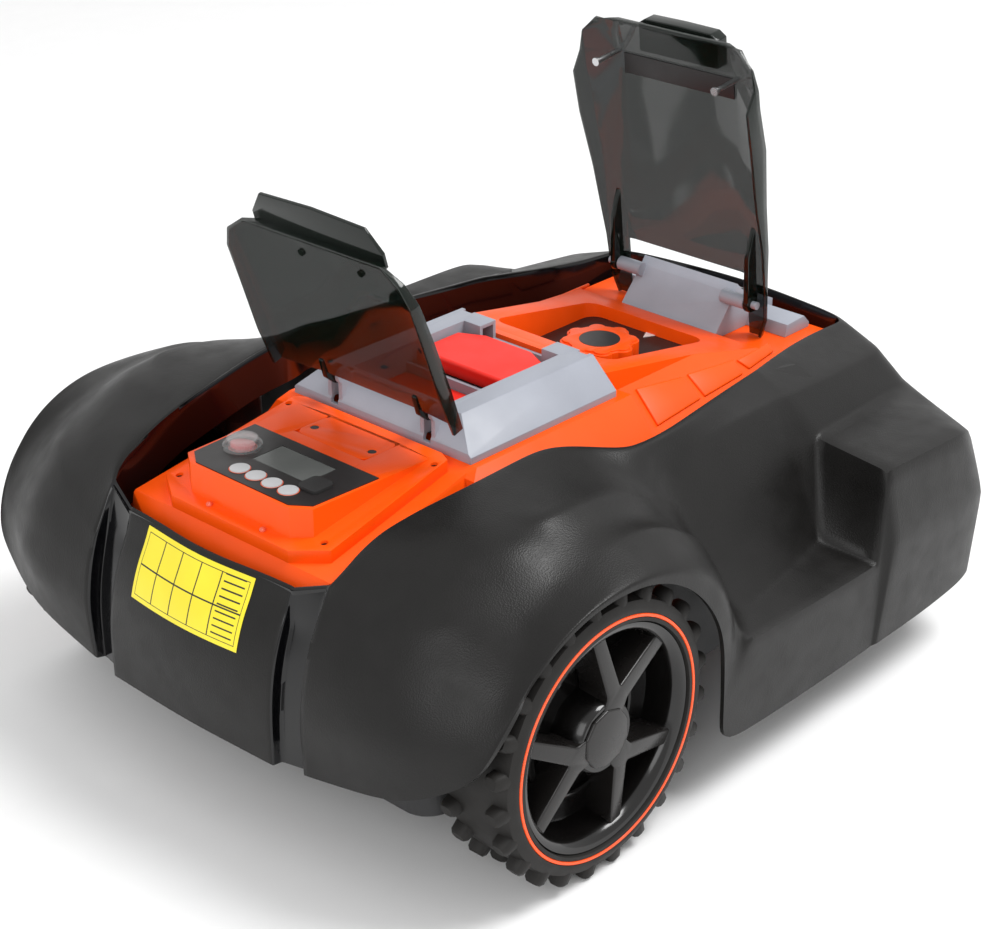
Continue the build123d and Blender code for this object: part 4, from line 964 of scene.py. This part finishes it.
@dataclass
class ClearLid:
    """Smoked lid: bent plate with a rim turned inwards, a raised lip and hinge arms.

    Attributes:
        node: CAD node and body of the lid.
        hinge: Joint of the lid.
        lean: Angle of the open lid, in degrees.
        back: Depth coordinate of the plate's flat middle.
        sections: Levels from the bottom to the top.
        flat: Half width of the flat middle.
        middle: Half width where the side facet has its extra column.
        notch: Height up to which the bottom is cut out between the side facets.
        top_rim: Depth coordinate of the top rim's free edge.
        lip: Half outline (sideways, up) of the lip.
        lip_depth: Near and far depth coordinate of the lip.
        arm_place: Distance of each hinge arm from the middle.
        arm: Outline (depth, up) of a hinge arm.
        disc: Radius of the disc round each hinge pin.
        wall: Wall thickness.
        strip: CAD node of the dark strip inside the lid, or nothing.
        strip_span: Heights that the strip runs between.
        least_facet: Least width of the outermost column of a level.
        arm_thick: Thickness of a hinge arm.
        web: How far a hinge disc stands proud of its arm.
    """

    node: str
    hinge: str
    lean: float
    back: float
    sections: list[Section]
    flat: float
    middle: float
    notch: float
    top_rim: float
    lip: list[Flat]
    lip_depth: Flat
    arm_place: float
    arm: list[Flat]
    disc: float = 6.5
    wall: float = 2.4
    strip: str = ""
    strip_span: Flat = (161.0, 177.0)
    least_facet: float = 2.0
    arm_thick: float = 4.6
    web: float = 0.2

    def spot(self, x: float, y: float, z: float) -> Vector:
        """Point in the lid's own frame, put in the open pose, in millimetres.

        Args:
            x: Depth coordinate.
            y: Sideways coordinate.
            z: Height above the hinge.

        Returns:
            The point.
        """
        place = Matrix.Translation(joint_place(self.hinge)) @ Matrix.Rotation(
            math.radians(-self.lean), 4, "Y")
        return place @ Vector((x, y, z))

    def row(self, form: bmesh.types.BMesh, section: Section) -> list[bmesh.types.BMVert]:
        """Points of one level, from the right rim's free edge to the left one's.

        Args:
            form: Form that gets the points.
            section: The level.

        Returns:
            The points.
        """
        half = section.half
        spots = [(section.rim, -half)]
        for y in (-half, *self.inner_columns(section), half):
            turn = max(0.0, (abs(y) - self.flat) / (half - self.flat))
            spots.append((self.back + section.shift - section.bend * turn, y))
        spots.append((section.rim, half))
        return [form.verts.new(self.spot(x, y, section.height) * MM) for x, y in spots]

    def tray(self) -> bmesh.types.BMesh:
        """Sheet of the plate and its rim, one quad between neighbouring points.

        Returns:
            The sheet.
        """
        form = bmesh.new()
        rows = [self.row(form, section) for section in self.sections]
        count = len(rows[0])
        for number, (lower, upper) in enumerate(zip(rows, rows[1:])):
            cut = self.sections[number + 1].height <= self.notch
            for column in range(count - 1):
                if cut and 2 <= column < count - 3:
                    continue
                form.faces.new((lower[column], lower[column + 1], upper[column + 1],
                                upper[column]))
        top = self.sections[-1]
        edge = rows[-1]
        rim = [edge[0]]
        for y in self.inner_columns(top):
            rim.append(form.verts.new(self.spot(self.top_rim, y, top.height) * MM))
        rim.append(edge[-1])
        form.faces.new((edge[0], edge[1], edge[2], rim[1]))
        for column in range(2, count - 3):
            form.faces.new((rim[column - 1], edge[column], edge[column + 1], rim[column]))
        form.faces.new((rim[-2], edge[-3], edge[-2], edge[-1]))
        for vert in [vert for vert in form.verts if not vert.link_faces]:
            form.verts.remove(vert)
        bmesh.ops.recalc_face_normals(form, faces=form.faces)
        return form

    def inner_columns(self, section: Section) -> list[float]:
        """Sideways places of a level's points between its two edges.

        Args:
            section: The level.

        Returns:
            The places, from right to left side.
        """
        inner = min(self.middle, section.half - self.least_facet)
        columns = [-inner, -self.flat, -self.flat / 2, 0.0]
        return columns + [-y for y in reversed(columns[:-1])]

    def fittings(self) -> bmesh.types.BMesh:
        """Lip, hinge arms and the discs round the hinge pins.

        Returns:
            The form.
        """
        form = bmesh.new()
        near, far = self.lip_depth
        push = self.spot(far, 0, 0) - self.spot(near, 0, 0)
        prism(form, [tuple(self.spot(near, y, z)) for y, z in mirrored(self.lip)], tuple(push))
        thick, half = self.arm_thick, self.arm_thick / 2 + self.web
        for y in (self.arm_place, -self.arm_place):
            points = [tuple(self.spot(x, y - thick / 2, z)) for x, z in self.arm]
            prism(form, points, (0.0, thick, 0.0))
            lathe(form, [(0.0, -half), (self.disc, -half), (self.disc, half), (0.0, half)],
                  tuple(self.spot(0.0, y, 0.0)), "Y", 40)
        return form

    def build_strip(self) -> None:
        """Lay the dark strip on the inside of the flat middle."""
        form = bmesh.new()
        near, far = self.back - self.wall / 2 - 0.3, self.back - self.wall / 2 - 1.6
        low, high = self.strip_span
        push = self.spot(far, 0, 0) - self.spot(near, 0, 0)
        half = [(self.flat, low), (self.flat, high), (0.0, high)]
        prism(form, [tuple(self.spot(near, y, z)) for y, z in mirrored(half)], tuple(push))
        item = add_piece(f"{self.node}_strip", form, self.node, INK, bevel=0.3)
        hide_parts(self.strip)

    def build(self) -> None:
        """Build the lid in place of its CAD node."""
        item = add_piece(f"{self.node}_clear", self.tray(), self.node, SMOKED)
        wall = item.modifiers.new("wall", "SOLIDIFY")
        wall.thickness = self.wall * MM
        wall.offset = 0.0
        round_edges(item, 0.7, 2, 20.0)
        smooth(item, 30.0)
        if self.strip:
            self.build_strip()
        fittings = add_piece(f"{self.node}_fittings", self.fittings(), self.node, LID_EDGE,
                             bevel=0.8)
        for piece in (item, fittings):
            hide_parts(self.node)


def rear_lid() -> ClearLid:
    """Lid over the control panel."""
    return ClearLid(
        "rear_lid", "rear_lid_hinge", 16.0, -9.0,
        [Section(8, 87, 3, 0, -20), Section(40, 87, 4, -0.6, -24),
         Section(80, 86.5, 5.5, -2.5, -26), Section(112, 86, 7, -4.8, -28),
         Section(127, 80, 8, -6.2, -28), Section(136, 66, 8, -7.1, -26)],
        46.0, 66.0, -10.0, -25.0, [(61, 130), (61, 141), (49, 157), (0, 159)], (-15.5, -18.5), 45.0,
        [(6, 3), (3, 7), (-3, 8), (-9, 19), (-11.3, 19), (-11.3, 4), (-6, -4), (0, -7), (5, -4)],
    )


def front_lid() -> ClearLid:
    """Lid over the height knob and the stop bar."""
    return ClearLid(
        "front_lid", "front_lid_hinge", 7.0, 9.0,
        [Section(-30, 70, 1, 0, 5), Section(-14, 76, 3, 0, 4.5), Section(20, 77.5, 3, 0, 3),
         Section(46, 79, 3, 0, 0), Section(82, 79, 4, 0, -6), Section(130, 82, 7, 0, -14),
         Section(164, 82, 13, 0, -18), Section(178, 82, 14, 0, -9), Section(194, 80, 13, -4, -8),
         Section(205, 68, 8, -7, -4)],
        52.0, 59.0, 20.0, -1.5, [(37, 181), (37, 203), (31, 207), (0, 207.5)], (7.0, 19.0), 66.0,
        [(-6, 2), (-3, 40), (6.6, 62), (6.6, -4), (3, -7), (-3, -6)], strip="lid_strip",
    )


# ---------------------------------------------------------------------------- deck details
@dataclass
class DeckDetails:
    """Raised pads on the deck's side ramps, a pointer in the well and rings round the buttons."""

    ramp_start: Flat = (76.0, 226.0)
    ramp_slope: float = 36.0 / 42.0
    pad_rise: float = 1.6
    pads: tuple[tuple[Flat, ...], ...] = (
        ((53, 80), (100, 85), (103, 101), (50, 104)),
        ((106, 85), (156, 89), (156, 99), (108, 101)),
        ((159, 90), (200, 89), (199, 95), (165, 98)),
        ((-47, 80), (6, 78), (-3, 106)),
    )
    ring: Flat = (6.95, 7.45)
    ring_rise: float = 0.2
    buttons: int = 4

    def ramp_pads(self) -> None:
        """Lay the pads on both ramps."""
        form = bmesh.new()
        start, top = self.ramp_start
        for side in (1.0, -1.0):
            normal = Vector((0.0, side * self.ramp_slope, 1.0)).normalized()
            for pad in self.pads:
                outline = [(x, side * y, top - (y - start) * self.ramp_slope) for x, y in pad]
                base = [tuple(Vector(point) - normal) for point in outline]
                prism(form, base, tuple(normal * (1.0 + self.pad_rise)))
        add_piece("ramp_pads", form, "chassis", ORANGE, bevel=1.1)

    def pointer(self) -> None:
        """Lay a small triangle beside the height knob."""
        top = millimetres("well_floor")[1].z
        form = bmesh.new()
        prism(form, [(166, -8, top), (166, 2, top), (156, -3, top)], (0.0, 0.0, 0.5))
        add_piece("height_pointer", form, "chassis", WHITE_PRINT)

    def button_rings(self) -> None:
        """Lay a thin ring round each button on the panel."""
        top = millimetres("control_overlay")[1].z
        form = bmesh.new()
        steps = 48
        for number in range(1, self.buttons + 1):
            corner, other = millimetres(f"button_{number}")
            middle = (corner + other) / 2
            loops = []
            for radius in self.ring:
                loop = []
                for step in range(steps):
                    turn = 2 * math.pi * step / steps
                    x = middle.x + radius * math.cos(turn)
                    z = top + self.ring_rise
                    loop.append(form.verts.new(metres((x, middle.y + radius * math.sin(turn), z))))
                loops.append(loop)
            for step in range(steps):
                after = (step + 1) % steps
                form.faces.new((loops[0][step], loops[1][step], loops[1][after], loops[0][after]))
        add_piece("button_rings", form, "chassis", ORANGE_LINE)

    def build(self) -> None:
        """Build every detail."""
        self.ramp_pads()
        self.pointer()
        self.button_rings()


# ---------------------------------------------------------------------------- studio
@dataclass
class Studio:
    """Pale floor, soft lights and the camera."""

    eye: Point = (-1087.9, -1006.1, 886.6)
    azimuth: float = -47.16
    elevation: float = 26.28
    lens: float = 80.83

    def floor(self) -> None:
        """Large pale flat floor."""
        form = bmesh.new()
        size = 14.0
        corners = [form.verts.new((x * size, y * size, 0.0))
                   for x, y in ((-1, -1), (1, -1), (1, 1), (-1, 1))]
        form.faces.new(corners)
        mesh = bpy.data.meshes.new("floor")
        form.to_mesh(mesh)
        form.free()
        item = bpy.data.objects.new("floor", mesh)
        bpy.context.scene.collection.objects.link(item)
        white = Finish("studio floor", (0.88, 0.88, 0.88), 0.75, pitch=0.05, mottle=0.005)
        mesh.materials.append(white.material())

    def light(self, name: str, place: Point, aim: Point, size: float, power: float,
              colour: Point = (1.0, 1.0, 1.0)) -> None:
        """Add one soft lamp.

        Args:
            name: Lamp name.
            place: Where it stands, in metres.
            aim: What it points at, in metres.
            size: Side of its square, in metres.
            power: Power in watts.
            colour: Light colour.
        """
        data = bpy.data.lights.new(name, "AREA")
        data.shape = "SQUARE"
        data.size = size
        data.energy = power
        data.color = colour
        item = bpy.data.objects.new(name, data)
        bpy.context.scene.collection.objects.link(item)
        item.location = place
        item.rotation_euler = (Vector(aim) - Vector(place)).to_track_quat("-Z", "Y").to_euler()

    def camera(self) -> None:
        """Camera at a three-quarter view from behind and above."""
        data = bpy.data.cameras.new("camera")
        data.lens = self.lens
        data.sensor_width = 36.0
        data.clip_end = 50.0
        item = bpy.data.objects.new("camera", data)
        bpy.context.scene.collection.objects.link(item)
        item.location = metres(self.eye)
        item.rotation_euler = (math.radians(90.0 - self.elevation), 0.0,
                               math.radians(self.azimuth))
        bpy.context.scene.camera = item

    def build(self) -> None:
        """Set up the whole studio."""
        self.floor()
        self.camera()
        world = bpy.data.worlds.new("studio")
        world.use_nodes = True
        sky = world.node_tree.nodes["Background"]
        sky.inputs["Color"].default_value = (1.0, 1.0, 1.0, 1.0)
        sky.inputs["Strength"].default_value = 0.85
        bpy.context.scene.world = world
        bpy.context.scene.view_settings.view_transform = "Standard"
        self.light("key", (0.9, -1.2, 2.6), (0.0, 0.0, 0.15), 1.2, 62.0)
        self.light("side", (-2.4, -1.0, 1.5), (0.0, 0.0, 0.15), 1.6, 22.0)


# ---------------------------------------------------------------------------- whole machine
def plain_nodes(done: set[str]) -> None:
    """Dress every CAD node that no other class took up.

    Args:
        done: Names of the nodes already taken up.
    """
    slots = {part["node"]: part["material_slot"] for part in frame["record"]["subparts"]}
    for node, slot in slots.items():
        if node in done:
            continue
        dress(node, FINISH_OF_SLOT[slot])


def main() -> None:
    """Build every sub-assembly."""
    logging.basicConfig(level=logging.INFO, format="%(name)s: %(message)s")
    Studio().build()
    LOG.info("studio")
    shell = FloatingShell().build()
    LOG.info("shell")
    TailPlate().build(shell)
    for side in ("left", "right"):
        DriveWheel(side).build()
        LOG.info("%s wheel", side)
    for lid in (rear_lid(), front_lid()):
        lid.build()
        LOG.info("%s", lid.node)
    DeckDetails().build()
    refined = {
        "deck_cover": (ORANGE, 0.9), "control_cover": (ORANGE, 1.0), "bezel": (PALE_GREY, 1.2),
        "front_cap": (PALE_GREY, 1.2), "stop_button": (STOP_RED, 0.8),
        "height_knob": (ORANGE, 1.2), "service_hatch": (ORANGE, 0.3),
        "power_rocker": (ROCKER_RED, 0.5), "port_cover": (SOFT_RUBBER, 0.8),
    }
    for node, (finish, width) in refined.items():
        refine(node, finish, width)
        LOG.info("%s", node)
    taken = {"shell", "shell_cups", "rear_lid", "front_lid", "lid_strip", *refined}
    for side in ("left", "right"):
        taken |= {f"tyre_{side}", f"wheel_rim_{side}", f"hub_cap_{side}", f"axle_{side}"}
    plain_nodes(taken)


if __name__ == "__main__":
    main()
